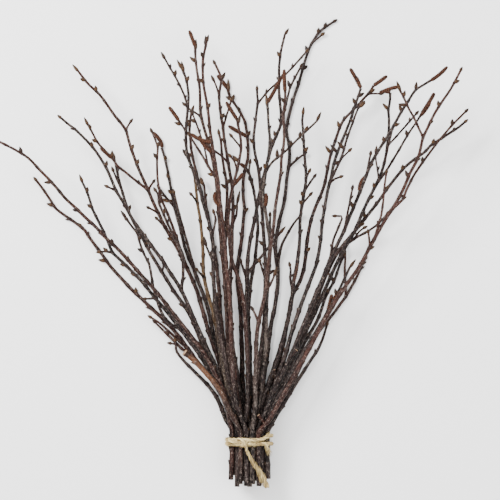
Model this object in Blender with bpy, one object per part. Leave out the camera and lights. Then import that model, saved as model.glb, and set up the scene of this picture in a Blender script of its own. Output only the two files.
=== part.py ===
"""A bundle of birch twigs tied with raffia, lying on a table.

The butts point towards -Y and the tips fan out towards +Y. Depth, along Z, is worked out so
that the twigs lie in rows over one another and none of them meet.
"""

import math

import bmesh
import bpy
import numpy as np
from mathutils import Vector
from mathutils.kdtree import KDTree

MM = 0.001

# The routes below are drawn on a board in millimetres: x to the right, y down.
BOARD_MIDDLE = 249.5
BOARD_TIE = 442.0

TIE_LOW = 455.0
TIE_HIGH = 432.0
TWIG_PITCH = 5.9 * MM
ROW_PITCH = 5.35 * MM
CROWN_LIFT = 10.5 * MM
CROWN_HEIGHT = 0.4
CROWN_START = 0.02
BUTT_SPREAD = 1.06

BUTT_RADIUS = 2.5 * MM
STEM_TIP_RADIUS = 0.95 * MM
STUB_RADIUS = 2.4 * MM
SHOOT_TIP_RADIUS = 0.85 * MM
FORK_RATIO = 0.85
SHOOT_RATIO = 0.72
CLEARANCE = 0.45 * MM
JOINT_GAP = 0.3 * MM

BUD_RADIUS = 1.3 * MM
BUD_SHORTEST = 5.5 * MM
BUD_STRETCH = 0.12
BUD_WAIST = 0.55
BUD_LEAN = 0.9
BUD_STEP_BACK = 1.0 * MM
BUD_FURTHEST_BACK = 5.0 * MM
CATKIN_RADIUS = 2.0 * MM
CATKIN_SHARES = [0.0, 0.2, 0.55, 0.85, 1.0]
CATKIN_FULLNESS = [0.0, 0.8, 1.0, 0.75, 0.0]
POINT_RADIUS = 0.4 * MM
TIP_LIFT = 0.8
BARK_GAP = 0.2 * MM
END_ROOM = 2.2 * MM
TIP_ROOM = 4.5 * MM
TIP_LENGTH = 2.5 * MM
TIP_WAIST = 0.45
AT_THE_END = 3 * MM

# How the twigs lie before they are pushed apart.
SWAY = 2.5 * MM
BRANCH_LEAN = 0.14
FLOOR_DROP = 1.6 * MM

# How they are pushed apart.
ROUNDS = 1500
QUIET_SHARE = 0.8
STRAIGHTENING = 0.25
RETURNING = 0.01
PUSH = 0.55
SAMPLE_SPACING = 1.0 * MM
TABLE_GAP = 0.05 * MM
JOINT_REACH = 11 * MM

# The openings in a tube where a bud, a catkin or a shoot grows out.
OPENING_WIDTH = 0.9 * MM
OPENING_END = 0.06
OPENING_SIDE = 0.14
BEFORE_RING = 2.2 * MM
BEHIND_RING = 1.4 * MM
RING_SPACING = 3.0 * MM
FOOT_ROOM = 1.2 * MM
SHARED_STRETCH = 1.5 * MM
SHOOT_GAP = 0.15 * MM
SHOOT_FOOT = 2.2
LEAVING_STEP = 0.25 * MM
FORK_FOOT_ROOM = 0.5 * MM

STEM_SIDES = 5
FORK_SIDES = 4
THINNING = 1.3 * MM

TIE_RADIUS = 1.75 * MM
TIE_PRESSED = 0.3 * MM
TIE_UNDER = 2 * TIE_RADIUS - TIE_PRESSED + CLEARANCE
FIRST_ROW_Z = TIE_UNDER + BUTT_RADIUS
TAIL_RADIUS = 1.4 * MM
TIE_STEPS = 16
UPPER_TURN = 2.0 * MM
LOWER_TURN = -1.95 * MM
TURN_RISE = 4.2 * MM
TURN_RISE_FROM = 12 * MM
TURN_RISE_OVER = 8 * MM
TURN_TOP_DEPTH = 6 * MM
KNOT_RISE = 1.2 * MM
KNOT_RISE_AT = -2.5 * MM
KNOT_RISE_OVER = 4 * MM
KNOT_SIZE = (3.9 * MM, 4.3 * MM, 2.9 * MM)
SHORT_END_RADIUS = 1.2 * MM
SHORT_END_THINNING = 0.1

DARK_BARK = (0.055, 0.034, 0.030)
GREY_BARK = (0.085, 0.062, 0.055)
RED_BARK = (0.110, 0.040, 0.022)
ORANGE_BARK = (0.240, 0.085, 0.035)
TAN_BARK = (0.190, 0.115, 0.060)
RAFFIA = (0.760, 0.610, 0.390)
BARK_ROUGHNESS = 0.75
RAFFIA_ROUGHNESS = 0.9

# The knot, the short end and the long free end, on the board with their height.
SHORT_END = [(264.4, 442.6, 36.0), (266.6, 446.0, 34.6), (269.0, 450.0, 32.8), (270.8, 455.5, 31.2)]
KNOT = (244.6, 443.4, 38.1)
TAIL = [
    (246.2, 449.6, 38.2),
    (249.0, 455.2, 37.4),
    (252.0, 460.7, 37.2),
    (255.2, 466.0, 37.2),
    (259.2, 470.8, 37.0),
    (262.6, 475.8, 35.8),
    (265.0, 481.4, 33.8),
    (267.0, 487.6, 32.4),
]

TWIGS = [
    {
        "name": "twig_03",
        "row": 0,
        "butt": 478,
        "bark": RED_BARK,
        "stem": (
            "222,396 213,383 204,371 195,360 187,349 180,339 172,329 160,317 149,307 141,299 "
            "131,290 120,278 109,266 103,257 97,249 88,237 84,230 75,223 62,214 54,208 50,201 "
            "42,189 35,180"
        ),
        "buds": "46,203.5 80,226.5 98,260 135,288",
        "branches": [
            {
                "route": "187,349 181,343 174,334 167,328 159,323 151,318",
            },
            {
                "route": "190,354 183,351 176,344 167,335 160,328 155,323",
            },
        ],
    },
    {
        "name": "twig_09",
        "row": 0,
        "butt": 482,
        "stem": (
            "228,393 224,376 219,360 215,345 212,330 210,318 207,307 204,297 200,287 196,277 "
            "192,266 188,257 184,247 182,237 179,225 176,215 174,206 172,196 170,186 168,175 "
            "166,165 164,156 161,147"
        ),
        "buds": "165,158 168,177 169,191",
        "catkins": [
            "161,147 163,142 152,131",
        ],
        "branches": [
            {
                "own_piece": True,
                "route": "197,279 196,270 192,259 188,249 185,238 182,226 179,214 176,203 174,193",
            },
            {
                "route": "174,208 168,200 163,194 159,188",
                "buds": "159,198",
            },
        ],
    },
    {
        "name": "twig_17",
        "row": 0,
        "butt": 485,
        "bark": RED_BARK,
        "stem": (
            "243,395 242,375 242,355 241,335 241,322 240,305 238,290 237,275 238,262 240,250 "
            "242,236 243,222 244.5,209 243,195 243,180 245,168 248,158 248,146 247,133 245,121 "
            "241,113 236,105 230,97 227,87"
        ),
        "buds": "228,79 234,94 226,96 239,109 250,131 249.5,208",
        "catkins": [
            "246,136 238,131 228,125",
            "228,87 222,80 217,74",
        ],
    },
    {
        "name": "twig_24",
        "row": 0,
        "butt": 480,
        "stem": (
            "262,394 264,376 267,358 269,340 271,325 274,312 276,300 278,284 278,270 276,258 "
            "275,246 277,233 280,218 284,204 286,190 287,177 289,165 290,153 289,142 286,131 "
            "288,120 291,108 294,97 298,86 301,75 304,64 308,51 312,42 317,34 320,30 327,25 "
            "334,20.5"
        ),
        "buds": "306,45 306,66 319,28 326,23",
        "branches": [
            {
                "route": "312,42 318,37 322,34",
            },
            {
                "route": "289,167 292,163 298,158 304,154",
            },
            {
                "own_piece": True,
                "route": "286,130 282,121 284,112 286,104 288,96 290,87 295,77 301,66",
                "buds": "288,80",
            },
            {
                "own_piece": True,
                "route": "278,269 279,256 282,244 288,233 294,223 300,216",
            },
        ],
    },
    {
        "name": "twig_32",
        "row": 0,
        "butt": 483,
        "bark": RED_BARK,
        "stem": (
            "268,426 276,412 285,396 294,381 301,366 307,352 313,341 320,331 327,322 334,314 "
            "341,304 347,296 352,287 358,276 362,267 366,259"
        ),
        "branches": [
            {
                "own_piece": True,
                "route": "346,297 346,284 345,270 346,256 345,245",
            },
        ],
    },
    {
        "name": "twig_01",
        "row": 1,
        "butt": 476,
        "stem": "226,422 221,408 216,397 208,386 196,374 184,362 178,355 175,350 176,345 175,342",
        "buds": "213,397",
        "branches": [
            {
                "route": "176,345 171,344",
            },
        ],
    },
    {
        "name": "twig_06",
        "row": 1,
        "butt": 481,
        "stem": (
            "225,394 218,379 211,365 204,350 198,335 192,320 186,309 179,299 173,291 167,281 "
            "162,273 157,265 151,255 146,246 141,236 135,226 130,216 127,208 124,199 121,189 "
            "118,178 116,168 114,159"
        ),
        "tip_bud": "112,151",
        "buds": "130,205 146,244 181,305",
        "branches": [
            {
                "route": "122,193 119,185 116,177 113,171",
                "tip_bud": "111,166",
            },
            {
                "route": "161,271 164,266 163,264",
            },
        ],
    },
    {
        "name": "twig_12",
        "row": 1,
        "butt": 484,
        "stem": (
            "231,395 228,375 225,352 222,332 220,314 219,292 217,272 215,255 212,240 210,228 "
            "208,216 205,206 202,196 199,185 196,172 193,160 191,150 190,140 189,130 190,120 "
            "191,112"
        ),
        "tip_bud": "194,104",
        "buds": "187,122 183,152 208,228",
        "branches": [
            {
                "route": "208,212 204,202 203,192 204,185 202,181",
                "tip_bud": "200,177",
            },
        ],
    },
    {
        "name": "twig_16",
        "row": 1,
        "butt": 479,
        "stem": (
            "239,392 237,374 234,356 231,340 229,325 228,310 227,295 226,280 225,262 225,245 "
            "226,228 226,212 227,198 227,186 225,174 223,163 221.5,152 221,141 219,134"
        ),
        "tip_bud": "218,128",
        "buds": "221,184 231,178",
    },
    {
        "name": "twig_21",
        "row": 1,
        "butt": 483,
        "stem": (
            "251,392 250,372 250,352 249,335 248,318 249,302 250,288 252,275 255,260 256.5,245 "
            "258,228 257,212 255,198 253,186 250,175 247,169 243,165"
        ),
        "tip_bud": "238,161",
        "branches": [
            {
                "route": "249,172 249.5,167 250,163",
            },
            {
                "route": "254,191 251,185 250,180",
            },
        ],
    },
    {
        "name": "twig_26",
        "row": 1,
        "butt": 478,
        "bark": RED_BARK,
        "stem": (
            "268,395 273,378 279,362 283,346 286,330 289,315 291,300 295,290 300,282 304,270 "
            "306,256 307,243 309,230 312,217 316,206 321,195 325,184 327,173 329,163 331,154 "
            "334,145 337,136 340,127 344,119 351,112 358,105 364,98 370,92 374,85"
        ),
        "buds": "338,121 373,90 326,146 312.5,246",
        "catkins": [
            "374,85 380,81 388,75",
        ],
        "branches": [
            {
                "route": "369,94 375,93 380,93",
            },
        ],
    },
    {
        "name": "twig_04",
        "row": 2,
        "butt": 479,
        "stem": (
            "225,400 217,385 208,369 198,353 189,341 180,329 172,319 165,310 157,301 149,291 "
            "141,281 133,273 126,266 120,260 112,253 108,243 104,233 98,221 92,209 89,198 86,190 "
            "82,182"
        ),
        "tip_bud": "79,174",
        "buds": "87,190 88,205 123,265 134,275",
        "branches": [
            {
                "own_piece": True,
                "route": (
                    "180,329 172,326 164,318 159,308 155,298 153,288 151,275 149,264 144,255 "
                    "140,245 137,233 131,226 125,217"
                ),
                "tip_bud": "120,210",
                "buds": "126,219 138,249 140,237",
            },
            {
                "route": "155,298 150,299 146,299",
            },
            {
                "route": "112,253 105,249 100,250",
                "buds": "103,248",
            },
        ],
    },
    {
        "name": "twig_08",
        "row": 2,
        "butt": 485,
        "bark": RED_BARK,
        "stem": (
            "229,398 225,382 220,366 215,351 210,337 206,324 203,313 200,303 197,292 192,280 "
            "186,267 180,254 174,243 168,233 163,224 159,215 155,207 151,198 147,188 142,177 "
            "138,168 135,160 131,149 128,139 126,130 120,122 114,115 108,106 100,95 96,91 88,84 "
            "84,79 78,71"
        ),
        "tip_bud": "72,64",
        "buds": "82.5,79.5 95.5,87 133,145 138,160 167,238",
        "branches": [
            {
                "own_piece": True,
                "route": "148,190 140,184 131,177 124,171 118,167 112,158 104,150 97,142 92,132 88,125",
                "tip_bud": "84,117",
                "buds": "93,140 90,127 112,151",
                "catkins": [
                    "112,158 106,153 100,147",
                ],
            },
            {
                "route": "126,130 128,125 130,122",
                "tip_bud": "133,118",
            },
            {
                "route": "148,190 150,186 153,182",
            },
            {
                "route": "158,213 154,211 149,208",
            },
            {
                "route": "165,227 161,224 157,219",
            },
            {
                "own_piece": True,
                "route": (
                    "187,269 183,257 178,243 174,231 170,220 166,210 161,199 159,189 157.5,180 "
                    "157,170 157,158 158,147 155,139 152,132"
                ),
                "buds": "154,154 159,143",
            },
        ],
    },
    {
        "name": "twig_13",
        "row": 2,
        "butt": 480,
        "bark": GREY_BARK,
        "stem": (
            "234,396 231,378 229,360 228,340 227,320 226,302 225,286 224,270 222,256 221,243 "
            "220,230 219,218 218,205 217,192 216,180 214,168 212,157 209,147 207,138 204,128 "
            "201,117 200,107 200,96 199.5,85 197,72 195.5,60 195,46"
        ),
        "buds": "190,57 198,40.5 211,135 217,169",
        "catkins": [
            "195,45 193,40 189,30",
        ],
        "branches": [
            {
                "route": "201,118 197,113 192,111 189,109 185,105",
            },
        ],
    },
    {
        "name": "twig_19",
        "row": 2,
        "butt": 483,
        "stem": (
            "249,396 249,378 248,360 247,342 246,325 246,306 247,288 247,271 248,255 250,240 "
            "253,227 256,213 258,200 261,187 264,175 267,163 270,152 273,143 277,134 281,125 "
            "281,113 280,103 279,92 279,78 279,66 280,58 281,50 283,42 285,34"
        ),
        "tip_bud": "289,28",
        "buds": "278,53 274,131 271,138",
        "branches": [
            {
                "own_piece": True,
                "route": "247,274 253,266 261,257 268,248 275,239 280,233",
                "tip_bud": "286,226",
            },
            {
                "route": "247,280 244,271 241,262",
            },
        ],
    },
    {
        "name": "twig_25",
        "row": 2,
        "butt": 478,
        "stem": (
            "264,397 270,380 275,365 280,350 284,335 288,320 291,306 293,292 294,278 297,265 "
            "299,250 300,236 300,220 302,205 304,193 306,182 306,172 305,160 304,148 303.5,136 "
            "303,128 302,120 303,114"
        ),
        "tip_bud": "304,106",
        "buds": "308,147 302,193 300,201",
        "catkins": [
            "300,262 297,270 293,284",
        ],
        "branches": [
            {
                "route": "306,178 309,172",
            },
            {
                "route": "306,192 308,185 311,181 314,177",
            },
            {
                "route": "303,204 306,199 310,195",
            },
            {
                "route": "293,292 290,280 291,270 290,266",
            },
        ],
    },
    {
        "name": "twig_30",
        "row": 2,
        "butt": 481,
        "stem": (
            "272,399 280,382 288,365 295,349 302,333 309,318 315,304 320,291 325,278 331,265 "
            "338,252 345,243 351,236 357,229 364,220 372,210 379,201 385,192 391,184 398,175 "
            "404,168 412,161 418,157 425,152 431,145 437,141 444,137 451,132 458,128 465,122"
        ),
        "buds": "434,140 403,166 387,189 363,224 365,215",
        "branches": [
            {
                "own_piece": True,
                "route": "340,250 350,242 357,237 363,234 370,230 377,225 383,219 387,214",
            },
            {
                "route": "354,239 358,234 361,229 364,228",
            },
        ],
    },
    {
        "name": "twig_34",
        "row": 2,
        "butt": 477,
        "stem": (
            "274,399 283,384 292,368 299,354 305,342 311,332 317,322 321,312 324,302 327,294 "
            "331,287 335,280 338,270 341,262 344,256"
        ),
        "buds": "333,279 327,289",
    },
    {
        "name": "twig_07",
        "row": 3,
        "butt": 474,
        "stem": (
            "228,400 222,384 216,368 208,351 201,335 194,320 189,307 184,296 180,288 175,280 "
            "168,270 163,261 156,252 150,244 143,234 136,225 131,217 128,211 125,205 121,199 "
            "116,191 112,181 107,169 101,159 95,150 89,143 83,137 76,130 68,124 61,118"
        ),
        "buds": "92,145 107,161",
        "branches": [
            {
                "route": "116,191 113,188 108,187",
            },
            {
                "own_piece": True,
                "route": (
                    "181,290 183,277 183,263 181,252 176,241 171,231 166,220 161,208 158,201 "
                    "159,195 156,191"
                ),
                "buds": "164,212",
            },
            {
                "route": "151,245 148,250 152,256",
            },
        ],
    },
    {
        "name": "twig_10",
        "row": 3,
        "butt": 482,
        "bark": TAN_BARK,
        "stem": (
            "230,398 226,382 222,364 219,345 216,326 212,308 208,296 205,284 203,272 203,258 "
            "202.5,245 201.5,232 200,218 197.5,204 196,190 195,178 192,168 188,158 185,153"
        ),
        "tip_bud": "183,148",
        "buds": "202,266",
        "branches": [
            {
                "route": "197,203 195,198 192,195",
                "tip_bud": "189,192",
            },
            {
                "route": "203,278 201,273 197,270",
            },
            {
                "route": "215,318 212,300 213,282 213,264 210,255 206,246",
                "tip_bud": "204,236",
            },
        ],
    },
    {
        "name": "twig_15",
        "row": 3,
        "butt": 485,
        "bark": RED_BARK,
        "stem": (
            "237,397 235,378 234,360 232,342 231,320 230,300 230,280 231,262 232,245 232,228 "
            "233,212 233,198 232,186 230,174 228,162 226,150 224,138 223,127 221,117 220,108 "
            "219,98 220,88 222,79 218,70 215,64"
        ),
        "buds": "225,73 224,114",
        "branches": [
            {
                "route": "219,97 217,88 214,81",
                "tip_bud": "211,75",
            },
            {
                "route": "223,128 226,117 229,108 231,101",
            },
            {
                "route": "228,163 223,157 216,152 210,148 205,144",
            },
            {
                "route": "234,226 237,213 237,203",
                "buds": "241,208",
                "tip_bud": "240,190",
            },
        ],
    },
    {
        "name": "twig_20",
        "row": 3,
        "butt": 480,
        "stem": (
            "256,397 258,378 260,360 262,343 264,325 265,306 265,288 266,272 265,257 264,241 "
            "263,226 262,212 261,199 260,186 259,172 256,159 254,148 253.5,137 255,125 256.5,112 "
            "258,101 257,95 257,90"
        ),
        "buds": "250,139 264,166 259,241",
        "branches": [
            {
                "own_piece": True,
                "route": "257.5,104 267,92 280,80 290,70 300,59 306,52",
            },
            {
                "route": "266,280 262,268 260,262",
            },
        ],
    },
    {
        "name": "twig_27",
        "row": 3,
        "butt": 485,
        "stem": (
            "269,398 276,382 282,366 287,350 291,335 296,320 301,305 306,292 311,279 316,266 "
            "319,252 321,238 322,225 324,212 326,200 328,189 331,178 333,167 336,156 340,146 "
            "344,136 348,126 352,116 355,106 358,97 361,88"
        ),
        "buds": "353,98 364,93 331,145 341,161",
        "catkins": [
            "361,88 357,79 351,69",
        ],
        "branches": [
            {
                "own_piece": True,
                "route": "330,182 335,171 341,159 344,149 347,138 351,126 354,116 358,108 362,104",
                "buds": "365,103 338,142",
            },
            {
                "route": "341,159 345,154 349,151",
            },
            {
                "route": "330,184 334,179 340,177",
            },
        ],
    },
    {
        "name": "twig_29",
        "row": 3,
        "butt": 478,
        "stem": (
            "274,400 282,384 290,367 297,351 304,336 311,321 318,306 324,292 330,278 336,265 "
            "342,253 348,243 354,233 358,224 362,214 366,205 370,197 374,189 378,181 382,172 "
            "385,161 387,150 388,140 389,128 389,118 388,110 390,101 390,93"
        ),
        "buds": "383,104 372,197 374,184",
        "catkins": [
            "390,92 386,90 379,93",
        ],
        "branches": [
            {
                "own_piece": True,
                "route": "376,186 381,178 387,170 393,160 399,150 404,141 410,131 415,124 420,116",
                "buds": "406,131",
                "catkins": [
                    "420,116 428,107 434,93",
                ],
            },
            {
                "route": "388,146 395,138 402,130 409,122 416,114",
            },
            {
                "route": "379,181 378,170 376,160 376,153",
                "tip_bud": "377,145",
            },
            {
                "route": "385,163 386,150 392,130",
            },
        ],
    },
    {
        "name": "twig_05",
        "row": 4,
        "butt": 480,
        "bark": RED_BARK,
        "stem": (
            "227,402 222,388 214,371 205,355 197,344 189,334 180,322 171,311 163,300 153,288 "
            "142,276 130,262 118,249 106,238 96,227 86,218 76,208 66,199 57,188 49,179 40,170 "
            "31,160 26,156 14,149 0,142"
        ),
        "buds": "20.5,147.5 45,182.5 74.5,210 112,240",
    },
    {
        "name": "twig_11",
        "row": 4,
        "butt": 487,
        "stem": (
            "233,400 229,380 225,358 221,338 218,320 216,304 214,288 213,272 213,258 213,244 "
            "211,232 209,222 206,212 203,203 201,193 198,184 194,173 190,163 187,153 186,143 "
            "186,132 187,120 188,108 189,98 188,88 186,78 182,69"
        ),
        "tip_bud": "177,60",
        "buds": "189,77 182,63 212,275",
        "branches": [
            {
                "own_piece": True,
                "route": "188,108 185,97 181,88 176,78 170,68 165,59",
                "tip_bud": "161,52",
                "buds": "176,71",
            },
            {
                "route": "187,132 183,127 179,121",
                "buds": "175,123",
                "catkins": [
                    "179,121 175,115 169,107",
                ],
            },
            {
                "route": "212,238 214,228 216,219 214,213",
            },
        ],
    },
    {
        "name": "twig_18",
        "row": 4,
        "butt": 481,
        "stem": (
            "248,400 248,382 248,364 247,347 246,330 245,315 244,302 241,289 238,277 233,265 "
            "230,250 229,235 228,220 229,206 231,194 234,182 237,171 239,161 241,151 241,141 "
            "239,130 237,120"
        ),
        "buds": "240,116",
        "catkins": [
            "237,119 232,112 226,102",
            "236,186 239,180 243,173",
        ],
        "branches": [
            {
                "route": "237,170 234,160 231,157",
                "tip_bud": "230,152",
            },
            {
                "route": "241,148 237,143 232,137",
            },
        ],
    },
    {
        "name": "twig_22",
        "row": 4,
        "butt": 487,
        "bark": GREY_BARK,
        "stem": (
            "260,400 262,382 264,365 266,348 266,331 266,313 267,296 268,280 269,266 270,253 "
            "270,240 268,228 266,215 264,203 263,190 265,178 266,168 268,160 269,150 270,140 "
            "269,130 268,120 268,112 267,104"
        ),
        "buds": "262,98 264,165",
        "catkins": [
            "267,104 272,95 281,79",
            "264,207 269,203 267.5,193",
        ],
        "branches": [
            {
                "own_piece": True,
                "route": "265,172 272,162 280,156 287,150 294,143 303,134 312,126 317,121",
                "tip_bud": "321,112",
                "buds": "277,150 291,141 300,134 306,130",
            },
            {
                "route": "270,238 272,228 271,216",
            },
        ],
    },
    {
        "name": "twig_28",
        "row": 4,
        "butt": 481,
        "stem": (
            "271,400 278,384 286,367 293,351 299,336 305,321 311,306 316,293 322,280 327,267 "
            "332,255 338,243 344,231 349,218 354,206 359,194 363,184 367,173 371,163 376,154 "
            "383,143 390,132 396,121 402,110 407,103 411,96 415,90 422,86 430,81"
        ),
        "buds": "416,83 399,105 399,124 383,138 351,202",
        "catkins": [
            "430,81 438,77 447,67",
        ],
        "branches": [
            {
                "route": "366,176 370,165 370,155",
            },
            {
                "route": "344,231 346,222 349,205 352,189",
                "catkins": [
                    "352,189 357,181 368,175",
                ],
            },
            {
                "route": "330,261 333,240 343,216 336,216",
            },
        ],
    },
    {
        "name": "twig_35",
        "row": 4,
        "butt": 483,
        "stem": (
            "275,404 284,388 293,372 301,357 309,343 317,330 324,318 330,307 336,296 341,286 "
            "346,275 350,267"
        ),
        "tip_bud": "356,259",
        "buds": "335,289",
        "catkins": [
            "334,305 341,299 347,287",
            "329,312 327,302 332,291",
        ],
    },
    {
        "name": "twig_33",
        "row": 4,
        "butt": 479,
        "stem": "269,428 277,414 286,400 295,385 304,371 311,360 318,350 322,341 325,332 327,325",
    },
    {
        "name": "twig_02",
        "row": 5,
        "butt": 484,
        "bark": ORANGE_BARK,
        "stem": "227,405 221,391 213,381 204,371 195,361 184,352",
        "broken": True,
    },
    {
        "name": "twig_14",
        "row": 5,
        "butt": 486,
        "stem": (
            "236,402 233,380 232,360 231,340 231,322 230,305 229,290 227,275 226,260 225,245 "
            "223,230 222,216 220,203 219,190 218,180 216,168 214,155 212,143 210,130 209,118 "
            "207,103 204,88 203,75 203,61 205,52 207,43"
        ),
        "tip_bud": "209,36",
        "buds": "202,55 201,81 210,105",
        "catkins": [
            "212,208 212,200 216,192",
        ],
        "branches": [
            {
                "own_piece": True,
                "route": "218,182 213,174 208,166 203,157 198,149 194,143 190,136",
                "buds": "208,174",
            },
            {
                "route": "208,166 206,155 204,146 201,136 198,126 193,115",
                "buds": "193,121",
                "catkins": [
                    "205,152 200,143 195,131",
                    "206,157 199,149 188,138",
                ],
            },
        ],
    },
    {
        "name": "twig_23",
        "row": 5,
        "butt": 484,
        "bark": GREY_BARK,
        "stem": (
            "256,402 255,384 256,365 256,348 257,331 260,315 264,299 267,282 268,265 270,251 "
            "272,237 274,222 275,208 277,196 279,184 281,172 281,160 283,150 284,139 284,128 "
            "283,118 284,108 285,100 285,93"
        ),
        "buds": "283,101 274,270",
        "catkins": [
            "285,93 284,83 284,70",
        ],
        "branches": [
            {
                "route": "266,292 271,283 274,276",
                "tip_bud": "277,266",
            },
            {
                "route": "258,322 255,314 253,310",
            },
        ],
    },
    {
        "name": "twig_31",
        "row": 5,
        "butt": 486,
        "bark": RED_BARK,
        "stem": (
            "268,422 276,408 285,392 294,376 303,360 312,343 320,328 328,314 335,302 342,291 "
            "349,281 357,270 363,260 368,250 373,241 378,232 383,223 388,215 393,207 398,199 "
            "402,191 406,182 409,174 414,165 418,157 420,148 422,138 427,128 431,119 436,110 "
            "442,101 449,91 455,80 459,72"
        ),
        "buds": "457,82 437,102 405,171 377,249 366,262",
        "branches": [
            {
                "own_piece": True,
                "route": "422,138 417,127 413,118 408,110 404,101 400,93 397,88",
                "buds": "404,92 396,83 398,105",
                "catkins": [
                    "397,88 390,89 381,93",
                ],
            },
            {
                "own_piece": True,
                "route": (
                    "391,211 397,206 403,199 405,192 409,184 413,176 419,167 424,160 430,152 "
                    "435,145 440,139 446,132 451,126 458,119 465,112"
                ),
                "buds": "452,120 422,159",
            },
            {
                "route": "374,240 377,228 381,215 383,200 384,186 386,173",
            },
            {
                "route": "370,247 369,240 368,233",
            },
        ],
    },
]


def clear_scene():
    for thing in list(bpy.data.objects):
        bpy.data.objects.remove(thing, do_unlink=True)


def on_board(text):
    """The points of a route, moved from the board to metres in the bundle's own frame."""
    pairs = [pair.split(",") for pair in text.split()]
    return np.array(
        [((float(x) - BOARD_MIDDLE) * MM, (BOARD_TIE - float(y)) * MM) for x, y in pairs]
    )


def run_of(points):
    """How far along its route each point lies."""
    return np.concatenate([[0.0], np.cumsum(np.linalg.norm(np.diff(points, axis=0), axis=1))])


def thinned(points, tolerance):
    """The fewest of the points that keep within the tolerance of the whole route."""
    if len(points) < 3:
        return points
    first, last = points[0], points[-1]
    chord = last - first
    across = np.abs(chord[0] * (points[:, 1] - first[1]) - chord[1] * (points[:, 0] - first[0]))
    across = across / max(np.hypot(*chord), 1e-9)
    worst = int(np.argmax(across[1:-1])) + 1
    if across[worst] < tolerance:
        return np.array([first, last])
    left = thinned(points[: worst + 1], tolerance)
    right = thinned(points[worst:], tolerance)
    return np.vstack([left[:-1], right])


class Route:
    """A stem or a branch seen from above, with a radius and a height at each knot."""

    def __init__(self, points, radii, parent=None, place=0.0, rank=0):
        self.points = points
        self.radii = radii
        self.run = run_of(points)
        self.parent = parent
        self.place = place
        self.rank = rank
        self.heights = np.zeros(len(points))
        self.fixed = np.zeros(len(points), bool)
        self.buds = []
        self.catkins = []
        self.branches = []
        self.start = 0

    def weights(self, run):
        """The knot before a place and how far it lies towards the next one."""
        knot = int(np.clip(np.searchsorted(self.run, run, side="right") - 1, 0, len(self.run) - 2))
        part = (run - self.run[knot]) / (self.run[knot + 1] - self.run[knot])
        return knot, float(np.clip(part, 0.0, 1.0))

    def between(self, values, run):
        knot, part = self.weights(run)
        return values[knot] * (1 - part) + values[knot + 1] * part

    def radius(self, run):
        return float(self.between(self.radii, run))

    def nearest(self, point):
        """The place on the route nearest to a point, and its distance."""
        best = (0.0, 1e9)
        for knot in range(len(self.points) - 1):
            along = self.points[knot + 1] - self.points[knot]
            part = np.clip(np.dot(point - self.points[knot], along) / np.dot(along, along), 0, 1)
            gap = np.linalg.norm(self.points[knot] + part * along - point)
            if gap < best[1]:
                best = (self.run[knot] + part * np.linalg.norm(along), gap)
        return best

    def direction(self, run):
        knot, _ = self.weights(run)
        along = self.points[knot + 1] - self.points[knot]
        return along / np.linalg.norm(along)


class Growth:
    """A bud or a catkin: a straight run of stations that leaves its route at one place."""

    def __init__(self, parent, place, points, radii):
        self.parent = parent
        self.place = place
        self.points = points
        self.radii = radii
        self.lifts = [0.0] * len(points)
        self.carriers = [place] + [parent.nearest(point)[0] for point in points[1:]]

    def rise_clear(self):
        """Lifts the stations just enough to lie on the bark instead of in it."""
        for index in range(1, len(self.points)):
            run, away = self.parent.nearest(self.points[index])
            reach = self.parent.radius(run) + max(self.radii[index], POINT_RADIUS) + BARK_GAP
            self.lifts[index] = math.sqrt(max(reach**2 - away**2, 0.0))
        self.lifts[-1] = max(self.lifts[-1], TIP_LIFT * self.lifts[-2])


def stem_radius(share, tip):
    return tip + (BUTT_RADIUS - tip) * (1 - share) ** 1.1


def slot(row, order):
    """Where a twig passes through the tie: its place across the bundle and its height."""
    count = len([twig for twig in TWIGS if twig["row"] == row])
    across = (order - (count - 1) / 2) * TWIG_PITCH
    return across, FIRST_ROW_Z + row * ROW_PITCH


def stem_route(twig, order, rank):
    across, _ = slot(twig["row"], order)
    butt = (across * BUTT_SPREAD, (BOARD_TIE - twig["butt"]) * MM)
    low = (across, (BOARD_TIE - TIE_LOW) * MM)
    high = (across, (BOARD_TIE - TIE_HIGH) * MM)
    crown = thinned(on_board(twig["stem"]), THINNING)
    points = np.vstack([[butt, low, high], crown])
    run = run_of(points)
    tip = STUB_RADIUS if twig.get("broken") else STEM_TIP_RADIUS
    radii = stem_radius(np.clip((run - run[2]) / (run[-1] - run[2]), 0, 1), tip)
    route = Route(points, radii, rank=rank)
    route.fixed[:3] = True
    return route


def branch_route(plan, parent, rank):
    points = on_board(plan["route"])
    place, _ = parent.nearest(points[0])
    points[0] = parent.between(parent.points, place)
    thickness = parent.between(parent.radii, place)
    ratio = FORK_RATIO if plan.get("own_piece") else SHOOT_RATIO
    tip = min(SHOOT_TIP_RADIUS, thickness * ratio)
    clear = thickness * (1 + ratio) + JOINT_GAP
    kept = [points[0]]
    for point in points[1:]:
        if len(kept) > 1 or parent.nearest(point)[1] > clear or point is points[-1]:
            kept.append(point)
    if len(kept) < 2:
        kept.append(points[-1])
    points = thinned(np.array(kept), THINNING)
    run = run_of(points)
    radii = tip + (thickness * ratio - tip) * (1 - run / run[-1])
    return Route(points, radii, parent, place, rank)


def bud_on(route, point):
    """A pointed bud that leans forward from the bark and ends at the point."""
    place, away = route.nearest(point)
    back = min(away * BUD_LEAN + BUD_STEP_BACK, BUD_FURTHEST_BACK)
    place = float(np.clip(place - back, END_ROOM, route.run[-1] - TIP_ROOM))
    base = route.between(route.points, place)
    tip = point + (point - base) * BUD_STRETCH
    length = np.linalg.norm(tip - base)
    if length < BUD_SHORTEST:
        tip = base + (tip - base) * (BUD_SHORTEST / length)
    middle = base * (1 - BUD_WAIST) + tip * BUD_WAIST
    bud = Growth(route, place, np.array([base, middle, tip]), [0.0, BUD_RADIUS, 0.0])
    bud.rise_clear()
    return bud


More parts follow.
